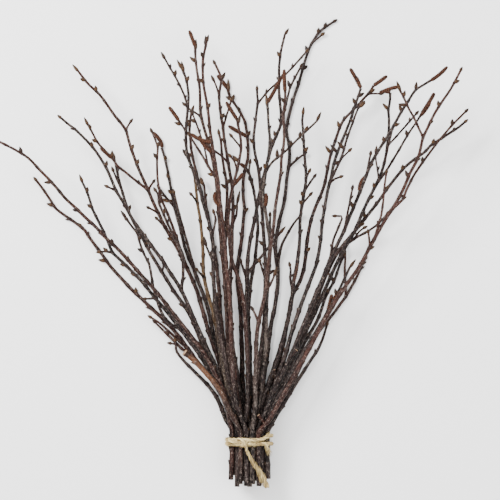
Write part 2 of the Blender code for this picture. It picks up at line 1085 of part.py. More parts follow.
def catkin_on(route, text):
    """A catkin beside the route, or at its end where it starts close to the last knot."""
    points = on_board(text)
    place, _ = route.nearest(points[0])
    at_end = np.linalg.norm(route.points[-1] - points[0]) < AT_THE_END
    if at_end:
        place = route.run[-1]
    else:
        place = float(np.clip(place, END_ROOM, route.run[-1] - END_ROOM))
    base = route.between(route.points, place)
    radii = [fullness * CATKIN_RADIUS for fullness in CATKIN_FULLNESS]
    bent = [
        base * (1 - t) ** 2 + points[1] * 2 * t * (1 - t) + points[2] * t**2 for t in CATKIN_SHARES
    ]
    return Growth(route, place, np.array(bent), radii), at_end


def dress(route, plan):
    """Adds the buds, the catkins and the end of a route."""
    route.ending = None
    for text in plan.get("catkins", []):
        catkin, at_end = catkin_on(route, text)
        if at_end and route.ending is None:
            route.ending = catkin
        else:
            catkin.place = min(catkin.place, route.run[-1] - END_ROOM)
            catkin.points[0] = route.between(route.points, catkin.place)
            catkin.carriers[0] = catkin.place
            catkin.rise_clear()
            route.catkins.append(catkin)
    for point in on_board(plan["buds"]) if "buds" in plan else []:
        route.buds.append(bud_on(route, point))
    if route.ending is not None or plan.get("broken"):
        return
    if "tip_bud" in plan:
        tip = on_board(plan["tip_bud"])[0]
    else:
        tip = route.points[-1] + route.direction(route.run[-1]) * TIP_LENGTH
    end = route.points[-1]
    middle = end * (1 - TIP_WAIST) + tip * TIP_WAIST
    bulge = max(BUD_RADIUS * 0.95, route.radii[-1] * 1.2) if "tip_bud" in plan else route.radii[-1]
    route.ending = Growth(route, route.run[-1], np.array([end, middle, tip]), [0.0, bulge, 0.0])


def plan_bundle():
    """Every twig's stem with its branches, and all the routes in one list."""
    families = []
    routes = []
    places = {}
    for index, twig in enumerate(TWIGS):
        order = places.get(twig["row"], 0)
        places[twig["row"]] = order + 1
        stem = stem_route(twig, order, twig["row"] * 100 + order)
        stem.name = twig["name"]
        stem.bark = twig.get("bark", DARK_BARK)
        stem.row, stem.order, stem.index = twig["row"], order, index
        dress(stem, twig)
        routes.append(stem)
        families.append(stem)
        for number, plan in enumerate(twig.get("branches", [])):
            start = on_board(plan["route"])[0]
            hosts = [stem] + stem.branches
            host = min(hosts, key=lambda candidate: candidate.nearest(start)[1] + candidate.rank * 1e-9)
            branch = branch_route(plan, host, stem.rank + 0.1 * (number + 1))
            branch.own_piece = plan.get("own_piece", False)
            if branch.own_piece:
                forks = [other for other in stem.branches if other.own_piece]
                branch.name = f"{stem.name}_fork" + (f"_{len(forks) + 1}" if forks else "")
            branch.row, branch.order, branch.index = stem.row, order, index
            branch.bark = stem.bark
            branch.number = number
            dress(branch, plan)
            stem.branches.append(branch)
            routes.append(branch)
    return families, routes


def first_heights(routes):
    """Heights before the twigs are pushed apart: rows that open like a fan from the tie."""
    for route in routes:
        if route.parent is None:
            _, z = slot(route.row, route.order)
            reach = np.clip((route.points[:, 1] - CROWN_START) / CROWN_HEIGHT, 0, 1)
            floor = (FIRST_ROW_Z - FLOOR_DROP) * np.clip(reach * 5, 0, 1)
            sway = SWAY * math.sin(route.index * 2.4) * min(route.row, 1)
            route.heights = z - floor + reach * (CROWN_LIFT * route.row + sway)
            route.heights[:3] = z
        else:
            base = route.parent.between(route.parent.heights, route.place)
            lean = BRANCH_LEAN * math.sin(route.index * 1.7 + route.number * 2.6)
            if route.row == 0:
                lean = abs(lean)
            route.heights = base + lean * route.run
        route.heights = np.maximum(route.heights, route.radii)
        route.wanted = route.heights.copy()


def samples_of(routes, spacing):
    """Points along every route, bud and catkin, each tied to the two knots that carry it."""
    rows = []
    for number, route in enumerate(routes):
        for run in np.arange(0, route.run[-1] + spacing / 2, spacing):
            run = min(run, route.run[-1])
            knot, part = route.weights(run)
            place = route.between(route.points, run)
            radius = route.between(route.radii, run)
            rows.append((place[0], place[1], radius, route.start + knot, part, number, run, 0, 0))
        growths = route.buds + route.catkins
        if route.ending is not None:
            growths = growths + [route.ending]
        for item, growth in enumerate(growths):
            run = run_of(growth.points)
            radii = np.array(growth.radii)
            radii[0] = 0.6 * radii[1]
            radii[-1] = 0.3 * MM
            for along in np.arange(spacing, run[-1] + spacing / 2, spacing):
                along = min(along, run[-1])
                x = np.interp(along, run, growth.points[:, 0])
                y = np.interp(along, run, growth.points[:, 1])
                radius = np.interp(along, run, radii)
                lift = np.interp(along, run, growth.lifts)
                knot, part = route.weights(np.interp(along, run, growth.carriers))
                carrier = route.start + knot
                rows.append((x, y, radius, carrier, part, number, growth.place, item + 1, lift))
    return np.array(rows)


def related(first, second, routes):
    """Whether two samples lie close to the place where one of their routes leaves the other."""
    one, two = routes[int(first[5])], routes[int(second[5])]
    if one is two:
        return True
    if two.parent is one:
        return second[6] < JOINT_REACH and abs(first[6] - two.place) < 2 * JOINT_REACH
    if one.parent is two:
        return first[6] < JOINT_REACH and abs(second[6] - one.place) < 2 * JOINT_REACH
    same = one.parent is two.parent and one.parent is not None
    return same and first[6] < JOINT_REACH and second[6] < JOINT_REACH


def meetings(samples, routes):
    """Pairs of samples that meet when seen from above, the upper one first."""
    tree = KDTree(len(samples))
    for index, sample in enumerate(samples):
        tree.insert((sample[0], sample[1], 0.0), index)
    tree.balance()
    widest = samples[:, 2].max()
    nearest = {}
    for index, sample in enumerate(samples):
        for _, other, gap in tree.find_range((sample[0], sample[1], 0.0), sample[2] + widest + CLEARANCE):
            second = samples[other]
            if second[5] == sample[5] or gap >= sample[2] + second[2] + CLEARANCE:
                continue
            if related(sample, second, routes):
                continue
            key = (index, int(second[5]), int(second[7]))
            if key not in nearest or gap < nearest[key][1]:
                nearest[key] = (other, gap)
    pairs = []
    for (index, _, _), (other, gap) in nearest.items():
        one, two = routes[int(samples[index][5])], routes[int(samples[other][5])]
        upper, lower = (index, other) if one.rank > two.rank else (other, index)
        reach = samples[index][2] + samples[other][2] + CLEARANCE
        pairs.append((upper, lower, math.sqrt(max(reach**2 - gap**2, 0.0))))
    return pairs


def numbered(routes):
    """Gives every knot of every route its place in one long row."""
    start = 0
    for route in routes:
        route.start = start
        start += len(route.points)


def neighbours(routes):
    """Each inner knot, the knots before and after it, and how far it lies between them."""
    inner, before, after, share = [], [], [], []
    for route in routes:
        for k in range(1, len(route.points) - 1):
            inner.append(route.start + k)
            before.append(route.start + k - 1)
            after.append(route.start + k + 1)
            span = route.run[k + 1] - route.run[k - 1]
            share.append((route.run[k] - route.run[k - 1]) / span)
    return np.array(inner), np.array(before), np.array(after), np.array(share)


def put_on_parents(z, routes):
    """Starts every branch at the height of the stem that it grows from."""
    for child in routes:
        if child.parent is not None:
            first, along = child.parent.weights(child.place)
            first += child.parent.start
            z[child.start] = z[first] * (1 - along) + z[first + 1] * along


def shared_push(z, loads):
    """Spreads each sample's push over the two knots that carry it."""
    push = np.zeros(len(z))
    load = np.full(len(z), 1e-9)
    for knot, part, amount in loads:
        for which, weight in ((knot, 1 - part), (knot + 1, part)):
            push += np.bincount(which, amount * weight, minlength=len(z))
            load += np.bincount(which, weight, minlength=len(z))
    return push / load


def settle(routes):
    """Moves the knots up and down until every pair of twigs that cross is clear."""
    numbered(routes)
    z = np.concatenate([route.heights for route in routes])
    wanted = np.concatenate([route.wanted for route in routes])
    radii = np.concatenate([route.radii for route in routes])
    fixed = np.concatenate([route.fixed for route in routes])
    samples = samples_of(routes, SAMPLE_SPACING)
    upper, lower, apart = (np.array(column) for column in zip(*meetings(samples, routes)))
    size, knot, part = samples[:, 2], samples[:, 3].astype(int), samples[:, 4]
    grown = samples[:, 7] > 0
    lift = samples[:, 8]
    inner, before, after, share = neighbours(routes)
    bend = wanted[before] * (1 - share) + wanted[after] * share - wanted[inner]
    for turn in range(ROUNDS):
        calm = max(0.0, 1 - turn / (QUIET_SHARE * ROUNDS))
        straight = z[before] * (1 - share) + z[after] * share - bend
        z[inner] += STRAIGHTENING * calm * (straight - z[inner])
        z += RETURNING * calm * (wanted - z)
        z[fixed] = wanted[fixed]
        put_on_parents(z, routes)
        height = z[knot] * (1 - part) + z[knot + 1] * part + lift
        short = apart - (height[upper] - height[lower])
        held = short > 0
        deep = size + TABLE_GAP - height
        sunk = grown & (deep > 0)
        loads = [
            (knot[upper[held]], part[upper[held]], PUSH * short[held]),
            (knot[lower[held]], part[lower[held]], -PUSH * short[held]),
            (knot[sunk], part[sunk], deep[sunk]),
        ]
        z = np.where(fixed, z, np.maximum(z + shared_push(z, loads), radii))
    for route in routes:
        route.heights = z[route.start : route.start + len(route.points)]


def spot(route, run):
    place = route.between(route.points, run)
    return Vector((place[0], place[1], route.between(route.heights, run)))


def knots(route):
    return [Vector((x, y, z)) for (x, y), z in zip(route.points, route.heights)]


def turned(frame, direction):
    """The frame's first axis, tipped so that it stays square to a new direction."""
    across = frame - direction * frame.dot(direction)
    return across.normalized()


class Tube:
    """A closed loop of vertices grown along stations, one side after another."""

    def __init__(self, shape, loop, angles, across):
        self.shape = shape
        self.loops = [loop]
        self.angles = angles
        self.across = across
        self.sides = {}

    def station(self, centre, direction, radius):
        self.across = turned(self.across, direction)
        other = direction.cross(self.across)
        radius = float(radius)
        loop = [
            self.shape.verts.new(
                centre + radius * (math.cos(a) * self.across + math.sin(a) * other)
            )
            for a in self.angles
        ]
        self.join(loop)

    def join(self, loop):
        last = self.loops[-1]
        count = len(loop)
        for side in range(count):
            after = (side + 1) % count
            face = self.shape.faces.new((last[side], last[after], loop[after], loop[side]))
            self.sides[(len(self.loops) - 1, side)] = face
        self.loops.append(loop)

    def close(self):
        self.shape.faces.new(self.loops[-1])

    def point(self, tip):
        last = self.loops[-1]
        end = self.shape.verts.new(tip)
        for side in range(len(last)):
            self.shape.faces.new((last[side], last[(side + 1) % len(last)], end))


def stations_of(route):
    """Runs of the stem's rings: its knots, and one between two growths that share a stretch."""
    places = sorted(
        [growth.place for growth in route.buds + route.catkins]
        + [branch.place for branch in fused_on(route)]
    )
    runs = list(route.run)
    for first, second in zip(places, places[1:]):
        if route.weights(first)[0] == route.weights(second)[0] and second - first > SHARED_STRETCH:
            runs.append((first + second) / 2)
    return np.array(sorted(runs))


def fused_on(route):
    family = route if route.parent is None else None
    if family is None:
        family = next(stem for stem in FAMILIES if route in stem.branches)
    return [
        branch for branch in family.branches if branch.parent is route and not branch.own_piece
    ]


def tube_along(tube, route, skip):
    """Grows the tube along the whole route, then gives it its end."""
    runs = [run for run in stations_of(route) if run > skip]
    places = [spot(route, run) for run in runs]
    before = spot(route, skip)
    for index, place in enumerate(places):
        arriving = (place - before).normalized()
        leaving = (places[index + 1] - place).normalized() if index + 1 < len(places) else arriving
        direction = (arriving + leaving).normalized()
        tube.station(place, direction, route.radius(runs[index]))
        before = place
    tube.runs = [skip] + runs
    tube.bare = skip
    if route.ending is None:
        tube.close()
        return
    end_growth(tube, route.ending, places[-1])


def growth_places(growth):
    """The growth's stations in space, level with the bark beside them or lifted off it."""
    levels = [growth.parent.between(growth.parent.heights, run) for run in growth.carriers]
    return [
        Vector((x, y, level + lift))
        for (x, y), level, lift in zip(growth.points, levels, growth.lifts)
    ]


def end_growth(tube, growth, base):
    places = growth_places(growth)
    places[0] = base
    for index in range(1, len(places) - 1):
        direction = (places[index + 1] - places[index - 1]).normalized()
        tube.station(places[index], direction, growth.radii[index])
    tube.point(places[-1])


def middle_of(loop):
    return sum((vert.co for vert in loop), Vector()) / len(loop)


def open_side(tube, run, towards, width):
    """Opens a small square in the side of the tube that faces the new growth."""
    segment = int(np.clip(np.searchsorted(tube.runs, run, side="right") - 1, 0, len(tube.runs) - 2))
    length = tube.runs[segment + 1] - tube.runs[segment]
    axis = middle_of(tube.loops[segment + 1]) - middle_of(tube.loops[segment])
    axis.normalize()
    towards = towards - axis * towards.dot(axis)
    best = None
    for side in range(len(tube.angles)):
        face = tube.sides.get((segment, side))
        if face is None:
            continue
        face.normal_update()
        facing = face.normal.dot(towards)
        if best is None or facing > best[0]:
            best = (facing, side, face)
    _, side, face = best
    count = len(tube.angles)
    low, high = tube.loops[segment], tube.loops[segment + 1]
    corners = [low[side], low[(side + 1) % count], high[(side + 1) % count], high[side]]
    middle = (run - tube.runs[segment]) / length
    half = min(width / length, 0.4)
    middle = min(max(middle, half + OPENING_END), 1 - half - OPENING_END)
    near, far = OPENING_SIDE, 1 - OPENING_SIDE
    inner = []
    for along, across in ((-half, near), (-half, far), (half, far), (half, near)):
        start = corners[0].co.lerp(corners[1].co, across)
        finish = corners[3].co.lerp(corners[2].co, across)
        inner.append(tube.shape.verts.new(start.lerp(finish, middle + along)))
    tube.shape.faces.remove(face)
    tube.sides[(segment, side)] = None
    for index in range(4):
        after = (index + 1) % 4
        tube.shape.faces.new((corners[index], corners[after], inner[after], inner[index]))
    across = (inner[1].co - inner[0].co).normalized()
    return Tube(tube.shape, inner, [math.radians(a) for a in (225, 315, 45, 135)], across)


def off_the_rings(tube, run):
    """Moves a place that lies just before a ring to just behind it."""
    for ring, following in zip(tube.runs[1:], tube.runs[2:]):
        if -BEFORE_RING < run - ring < BEHIND_RING and following - ring > RING_SPACING:
            return ring + BEHIND_RING
    return run


def sprout(tube, route, growth):
    base = spot(route, growth.place)
    places = growth_places(growth)
    towards = (places[1] - base).normalized()
    foot = off_the_rings(tube, max(growth.place, tube.bare + FOOT_ROOM))
    side = open_side(tube, foot, towards, OPENING_WIDTH)
    for index in range(1, len(places) - 1):
        behind = places[index - 1] if index > 1 else places[index]
        direction = (places[index + 1] - behind).normalized()
        side.station(places[index], direction, growth.radii[index])
    side.point(places[-1])


def leaving_run(route, branch):
    """How far along the branch its whole thickness is outside the bark of the route."""
    reach = route.radius(branch.place) + branch.radius(0.0) + SHOOT_GAP
    for run in np.arange(4 * LEAVING_STEP, branch.run[-1], LEAVING_STEP):
        place = spot(branch, run)
        along, _ = route.nearest(np.array(place.xy))
        if (place - spot(route, along)).length > reach:
            return float(run)
    return float(branch.run[-1]) * 0.8


def dress_tube(tube, route):
    for growth in route.buds + route.catkins:
        sprout(tube, route, growth)
    for branch in fused_on(route):
        leave = leaving_run(route, branch)
        clear = spot(branch, leave)
        along, _ = route.nearest(np.array(clear.xy))
        foot = max(branch.place, along - SHOOT_FOOT * route.radius(along))
        towards = (clear - spot(route, foot)).normalized()
        thickness = branch.radius(0.0)
        side = open_side(tube, foot, towards, thickness)
        side.station(clear, towards, thickness)
        tube_along(side, branch, leave)
        side.runs.insert(0, 0.0)
        dress_tube(side, branch)


def twig_solid(route):
    """One piece of twig: a stem, or a fork with its foot cut to lie along the stem."""
    shape = bmesh.new()
    sides = STEM_SIDES if route.parent is None else FORK_SIDES
    angles = [2 * math.pi * (k + 0.5) / sides for k in range(sides)]
    places = knots(route)
    direction = (places[1] - places[0]).normalized()
    across = turned(Vector((0, 0, 1)), direction)
    tube = Tube(shape, [], angles, across)
    other = direction.cross(across)
    radius = route.radius(0.0)
    loop = [places[0] + radius * (math.cos(a) * across + math.sin(a) * other) for a in angles]
    skip = 0.0
    if route.parent is not None:
        loop, skip = foot_on(route, loop, direction)
    tube.loops = [[shape.verts.new(point) for point in loop]]
    shape.faces.new(list(reversed(tube.loops[0])))
    tube_along(tube, route, skip)
    dress_tube(tube, route)
    return shape


def foot_on(route, loop, direction):
    """Slides the foot's corners along the fork until they lie just off the stem's side."""
    parent = route.parent
    knot, _ = parent.weights(route.place)
    ends = knots(parent)
    along = (ends[knot + 1] - ends[knot]).normalized()
    out = turned(direction, along)
    off = parent.radius(route.place) + JOINT_GAP
    base = spot(route, 0.0)
    moved = [point + direction * (off - (point - base).dot(out)) / direction.dot(out) for point in loop]
    furthest = max((point - base).dot(direction) for point in moved)
    return moved, furthest + FORK_FOOT_ROOM


def material(name, colour, roughness):
    made = bpy.data.materials.new(name)
    made.use_nodes = True
    shader = made.node_tree.nodes["Principled BSDF"]
    shader.inputs["Base Color"].default_value = (*colour, 1.0)
    shader.inputs["Roughness"].default_value = roughness
    shader.inputs["Metallic"].default_value = 0.0
    return made


def object_from(shape, name, surface):
    mesh = bpy.data.meshes.new(name)
    shape.to_mesh(mesh)
    shape.free()
    thing = bpy.data.objects.new(name, mesh)
    thing.data.materials.append(surface)
    bpy.context.scene.collection.objects.link(thing)
    return thing


def tie_outline(steps):
    """Places round the packed butts where the twine's centre runs, as (x, z)."""
    reach = BUTT_RADIUS + CLEARANCE + TIE_RADIUS
    ends = []
    for row in range(6):
        count = len([twig for twig in TWIGS if twig["row"] == row])
        ends += [slot(row, 0), slot(row, count - 1)]
    outline = []
    for step in range(steps):
        angle = 2 * math.pi * (step + 0.5) / steps
        way = (math.cos(angle), math.sin(angle))
        x, z = max(ends, key=lambda end: end[0] * way[0] + end[1] * way[1])
        outline.append((x + reach * way[0], z + reach * way[1]))
    return outline


def turn_of_twine(outline, height_at):
    """One closed turn of twine round the butts."""
    shape = bmesh.new()
    places = [Vector((x, height_at(x, z), z)) for x, z in outline]
    loops = []
    for index, place in enumerate(places):
        ahead = (places[(index + 1) % len(places)] - place).normalized()
        behind = (place - places[index - 1]).normalized()
        direction = (ahead + behind).normalized()
        out = turned(Vector((0, 1, 0)), direction)
        other = direction.cross(out)
        loops.append(
            [
                shape.verts.new(
                    place + TIE_RADIUS * (math.cos(a) * out + math.sin(a) * other)
                )
                for a in [math.pi * k / 3 for k in range(6)]
            ]
        )
    for index, loop in enumerate(loops):
        following = loops[(index + 1) % len(loops)]
        for side in range(6):
            after = (side + 1) % 6
            shape.faces.new((loop[side], loop[after], following[after], following[side]))
    bmesh.ops.recalc_face_normals(shape, faces=shape.faces)
    return shape


def upper_turn(x, z):
    """The turn nearer the tips: straight under the bundle, wandering on top of it."""
    slope = TURN_RISE * max(0.0, min(1.0, (x - TURN_RISE_FROM) / TURN_RISE_OVER))
    if z < TIE_TOP - TURN_TOP_DEPTH:
        return UPPER_TURN + slope
    return UPPER_TURN + slope + KNOT_RISE * math.exp(-(((x - KNOT_RISE_AT) / KNOT_RISE_OVER) ** 2))


def lower_turn(x, z):
    return LOWER_TURN


def short_end():
    """The short frayed end that hangs from the right of the tie."""
    shape = bmesh.new()
    places = [
        Vector(((x - BOARD_MIDDLE) * MM, (BOARD_TIE - y) * MM, z * MM))
        for x, y, z in SHORT_END
    ]
    direction = (places[1] - places[0]).normalized()
    across = turned(Vector((0, 0, 1)), direction)
    other = direction.cross(across)
    angles = [math.pi * (k + 0.5) / 2 for k in range(4)]
    first = [
        shape.verts.new(places[0] + SHORT_END_RADIUS * (math.cos(a) * across + math.sin(a) * other))
        for a in angles
    ]
    shape.faces.new(list(reversed(first)))
    tube = Tube(shape, first, angles, across)
    for index in (1, 2, 3):
        direction = (places[index] - places[index - 1]).normalized()
        tube.station(places[index], direction, SHORT_END_RADIUS * (1 - SHORT_END_THINNING * index))
    tube.close()
    bmesh.ops.recalc_face_normals(shape, faces=shape.faces)
    return shape


def knot_lump():
    shape = bmesh.new()
    bmesh.ops.create_icosphere(shape, subdivisions=2, radius=1.0)
    bmesh.ops.scale(shape, vec=KNOT_SIZE, verts=shape.verts)
    place = Vector(((KNOT[0] - BOARD_MIDDLE) * MM, (BOARD_TIE - KNOT[1]) * MM, KNOT[2] * MM))
    bmesh.ops.translate(shape, vec=place, verts=shape.verts)
    return shape


def helper_box(name, low, high):
    shape = bmesh.new()
    bmesh.ops.create_cube(shape, size=1.0)
    for vert in shape.verts:
        for axis in range(3):
            vert.co[axis] = high[axis] if vert.co[axis] > 0 else low[axis]
    return object_from(shape, name, bpy.data.materials["raffia"])


def join(target, tool, operation):
    tool.hide_render = True
    tool.hide_viewport = True
    change = target.modifiers.new(tool.name, "BOOLEAN")
    change.operation = operation
    change.object = tool
    change.solver = "EXACT"


def make_tie(surface):
    """Two turns of twine, the knot and the short end, pressed flat where they bear on the table."""
    outline = tie_outline(TIE_STEPS)
    tie = object_from(turn_of_twine(outline, lower_turn), "tie", surface)
    join(tie, object_from(turn_of_twine(outline, upper_turn), "tie_upper_turn", surface), "UNION")
    join(tie, object_from(knot_lump(), "tie_knot", surface), "UNION")
    join(tie, object_from(short_end(), "tie_short_end", surface), "UNION")
    below = helper_box("tie_floor", (-0.1, -0.05, -0.02), (0.1, 0.05, 0.0))
    join(tie, below, "DIFFERENCE")
    return tie


def make_tail(surface):
    """The long free end, lying from the knot over the butts."""
    curve = bpy.data.curves.new("tie_tail", "CURVE")
    curve.dimensions = "3D"
    curve.bevel_depth = TAIL_RADIUS
    curve.bevel_resolution = 2
    curve.use_fill_caps = True
    line = curve.splines.new("POLY")
    line.points.add(len(TAIL) - 1)
    for point, (x, y, z) in zip(line.points, TAIL):
        point.co = ((x - BOARD_MIDDLE) * MM, (BOARD_TIE - y) * MM, z * MM, 1.0)
    tail = bpy.data.objects.new("tie_tail", curve)
    curve.materials.append(surface)
    bpy.context.scene.collection.objects.link(tail)
    return tail


def centre_on_floor():
    """Puts the middle of the box round the twigs and the tie over the origin."""
    bpy.context.view_layer.update()
    shown = [thing for thing in bpy.data.objects if thing.type == "MESH" and not thing.hide_render]
    corners = np.array([thing.matrix_world @ Vector(c) for thing in shown for c in thing.bound_box])
    low, high = corners.min(axis=0), corners.max(axis=0)
    shift = Vector((-(low[0] + high[0]) / 2, -(low[1] + high[1]) / 2, 0.0))
    for thing in bpy.data.objects:
        thing.location = shift
    print("box", [round(1000 * side, 1) for side in high - low], "low", round(1000 * low[2], 3))
    print("shift", [round(1000 * value, 3) for value in shift])


TIE_TOP = FIRST_ROW_Z + 5 * ROW_PITCH + BUTT_RADIUS

clear_scene()
FAMILIES, ROUTES = plan_bundle()
first_heights(ROUTES)
settle(ROUTES)
BARKS = {
    DARK_BARK: material("bark_dark", DARK_BARK, BARK_ROUGHNESS),
    GREY_BARK: material("bark_grey", GREY_BARK, BARK_ROUGHNESS),
    RED_BARK: material("bark_red", RED_BARK, BARK_ROUGHNESS),
    ORANGE_BARK: material("bark_orange", ORANGE_BARK, BARK_ROUGHNESS),
    TAN_BARK: material("bark_tan", TAN_BARK, BARK_ROUGHNESS),
}
for route in ROUTES:
    if route.parent is None or route.own_piece:
        object_from(twig_solid(route), route.name, BARKS[route.bark])
twine = material("raffia", RAFFIA, RAFFIA_ROUGHNESS)
make_tie(twine)
make_tail(twine)
centre_on_floor()
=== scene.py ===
import math
import random

import bmesh
import bpy
import numpy as np
from mathutils import Matrix, Vector
from mathutils.bvhtree import BVHTree


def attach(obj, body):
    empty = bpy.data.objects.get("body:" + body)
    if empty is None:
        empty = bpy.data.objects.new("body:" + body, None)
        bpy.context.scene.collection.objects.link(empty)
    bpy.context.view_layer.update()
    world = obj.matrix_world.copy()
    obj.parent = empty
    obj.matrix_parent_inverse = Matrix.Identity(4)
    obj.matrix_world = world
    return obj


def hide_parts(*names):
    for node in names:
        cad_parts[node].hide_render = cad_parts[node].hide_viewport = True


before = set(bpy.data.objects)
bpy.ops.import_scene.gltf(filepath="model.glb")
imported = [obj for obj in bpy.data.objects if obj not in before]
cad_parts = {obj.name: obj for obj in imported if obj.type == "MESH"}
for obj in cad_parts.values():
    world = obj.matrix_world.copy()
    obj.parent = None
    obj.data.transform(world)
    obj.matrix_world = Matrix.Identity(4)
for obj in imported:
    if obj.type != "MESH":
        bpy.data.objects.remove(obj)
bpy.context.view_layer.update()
random.seed(7)
mm = 0.001

# The twigs are drawn on a board in millimetres, x to the right and y down.
# Its middle and the line of the tie land on the bundle's own middle through the shift.
board = {"middle": 249.5, "tie": 442.0, "shift": (17.046, -188.926), "lowest": 0.1 * mm}


def onBoard(x, y, z=0.0):
    across = x - board["middle"] + board["shift"][0]
    upward = board["tie"] - y + board["shift"][1]
    return Vector((across * mm, upward * mm, z * mm))


def drawn(text):
    # places written as x,y or as x,y,height
    return [onBoard(*map(float, place.split(","))) for place in text.split()]


# The camera looks straight down through a long lens.
view = {"height": 6.0, "level": 0.035, "width": 0.5, "middle": (250.0, 250.0), "sensor": 36.0}

eye = bpy.data.cameras.new("overhead")
eye.sensor_width = view["sensor"]
eye.lens = view["sensor"] * (view["height"] - view["level"]) / view["width"]
camera = bpy.data.objects.new("overhead", eye)
camera.location = onBoard(*view["middle"]) + Vector((0, 0, view["height"]))
bpy.context.scene.collection.objects.link(camera)
bpy.context.scene.camera = camera
print("camera set")


# A shader's maths is written as plain sums on its sockets.
class Value:
    def __init__(self, recipe, socket):
        self.recipe = recipe
        self.socket = socket

    def sum(self, operation, first, second):
        return self.recipe.node("ShaderNodeMath", {"operation": operation}, {0: first, 1: second})

    def __add__(self, other):
        return self.sum("ADD", self, other)

    def __sub__(self, other):
        return self.sum("SUBTRACT", self, other)

    def __mul__(self, other):
        return self.sum("MULTIPLY", self, other)

    def __pow__(self, other):
        return self.sum("POWER", self, other)

    __radd__ = __add__


class Recipe:
    def __init__(self, name):
        self.material = bpy.data.materials.new(name)
        self.material.use_nodes = True
        self.tree = self.material.node_tree
        self.shader = self.tree.nodes["Principled BSDF"]

    def node(self, kind, settings, sockets, output=0):
        made = self.tree.nodes.new(kind)
        for name, setting in settings.items():
            setattr(made, name, setting)
        for name, value in sockets.items():
            self.feed(made.inputs[name], value)
        return Value(self, made.outputs[output])

    def feed(self, socket, value):
        if isinstance(value, Value):
            self.tree.links.new(value.socket, socket)
        elif hasattr(value, "__len__") and len(value) == 3 and socket.type == "RGBA":
            socket.default_value = (*value, 1.0)
        else:
            socket.default_value = value

    def stored(self, name, output="Fac"):
        return self.node("ShaderNodeAttribute", {"attribute_name": name}, {}, output)

    def straight(self, scales):
        # the place on the straightened twig or fibre
        return self.stretched(self.stored("straight", "Vector"), scales)

    def placed(self):
        return self.node("ShaderNodeTexCoord", {}, {}, "Object")

    def stretched(self, place, scales):
        settings = {"operation": "MULTIPLY"}
        return self.node("ShaderNodeVectorMath", settings, {0: place, 1: scales})

    def noise(self, place, scale=1.0, detail=3.0, rough=0.55):
        sockets = {"Vector": place, "Scale": scale, "Detail": detail, "Roughness": rough}
        return self.node("ShaderNodeTexNoise", {}, sockets)

    def ramp(self, amount, *stops):
        value = self.node("ShaderNodeValToRGB", {}, {0: amount})
        elements = value.socket.node.color_ramp.elements
        while len(elements) < len(stops):
            elements.new(0.5)
        for element, (place, colour) in zip(elements, stops):
            element.position = place
            element.color = (*colour, 1.0) if isinstance(colour, tuple) else (colour, colour, colour, 1.0)
        return value

    def mix(self, amount, first, second):
        sockets = {0: amount, 6: first, 7: second}  # the colour sockets of the mix
        return self.node("ShaderNodeMix", {"data_type": "RGBA", "clamp_factor": True}, sockets, 2)

    def bumped(self, height, strength, distance):
        sockets = {"Height": height, "Strength": strength, "Distance": distance}
        return self.node("ShaderNodeBump", {}, sockets)

    def finish(self, **sockets):
        for name, value in sockets.items():
            self.feed(self.shader.inputs[name.replace("_", " ")], value)
        return self.material


# Every bark: its dark ground, the lighter skin on it, and the colour of its young shoots.
barkLook = {
    "dark": ((0.0024, 0.0011, 0.0011), (0.030, 0.020, 0.018), (0.019, 0.0065, 0.0045)),
    "grey": ((0.0035, 0.0022, 0.0020), (0.062, 0.047, 0.040), (0.024, 0.010, 0.007)),
    "red": ((0.0036, 0.0011, 0.0010), (0.038, 0.014, 0.010), (0.030, 0.0085, 0.005)),
    "orange": ((0.0035, 0.0015, 0.0013), (0.036, 0.019, 0.014), (0.095, 0.041, 0.020)),
    "tan": ((0.0040, 0.0022, 0.0015), (0.042, 0.028, 0.018), (0.085, 0.048, 0.021)),
}
barkMarks = {
    "warm": (0.046, 0.0155, 0.0105),
    # pale grey scuffs: partly real wear, partly a painted silver highlight along the stems
    "scuffAndPaintedHighlight": (0.30, 0.255, 0.225),
    "pore": (0.25, 0.19, 0.145),
    "joint": (0.014, 0.008, 0.007),
}


def barkFinish(name):
    ground, skin, young = barkLook[name]
    recipe = Recipe("bark " + name)
    broad = recipe.noise(recipe.straight((90, 90, 40)), detail=4.0)
    streak = recipe.noise(recipe.straight((1250, 1250, 230)), detail=4.0, rough=0.65)
    grain = recipe.noise(recipe.straight((2300, 2300, 1300)), detail=2.0)
    flake = recipe.noise(recipe.straight((560, 560, 380)), rough=0.7)
    cells = {"Vector": recipe.straight((420, 420, 900)), "Scale": 0.45, "Randomness": 1.0}
    pores = recipe.ramp(recipe.node("ShaderNodeTexVoronoi", {}, cells), (0.10, 1.0), (0.17, 0.0))
    patches = recipe.ramp(broad * 0.3 + streak * 0.35 + flake * 0.35, (0.47, 0.0), (0.56, 1.0))
    # pale scuffs from noise, partly real wear and partly painted silver highlights that stand in for light
    # on the bark
    scuffsAndPaintedHighlights = recipe.ramp(flake * 0.5 + grain * 0.5, (0.555, 0.0), (0.64, 1.0))
    redness = recipe.stored("tint") * (streak * 2.6 + flake * 1.4 - 1.5)
    youth = recipe.stored("youth") * (streak * 2.6 + flake * 0.8 - 1.0)
    colour = recipe.mix(patches, ground, skin)
    colour = recipe.mix(redness, colour, barkMarks["warm"])
    colour = recipe.mix(youth, colour, young)
    colour = recipe.mix(scuffsAndPaintedHighlights * 0.65, colour, barkMarks["scuffAndPaintedHighlight"])
    colour = recipe.mix(pores * flake * 0.8, colour, barkMarks["pore"])
    colour = recipe.mix(recipe.stored("joint") * 0.6, colour, barkMarks["joint"])
    height = broad * 0.4 + streak * 0.35 + grain * 0.2 + flake * 0.3 + pores * 0.3
    return recipe.finish(
        Base_Color=colour,
        Roughness=0.34 + streak * 0.25 + pores * 0.15,
        Normal=recipe.bumped(height, 0.7, 0.7 * mm),
        Specular_IOR_Level=0.08,
    )


def cutFinish():
    recipe = Recipe("cut wood")
    fibre = recipe.noise(recipe.stretched(recipe.placed(), (1600, 1600, 1600)))
    return recipe.finish(
        Base_Color=recipe.ramp(fibre, (0.3, (0.16, 0.085, 0.045)), (0.7, (0.42, 0.28, 0.17))),
        Roughness=0.85,
        Normal=recipe.bumped(fibre, 0.5, 0.4 * mm),
    )
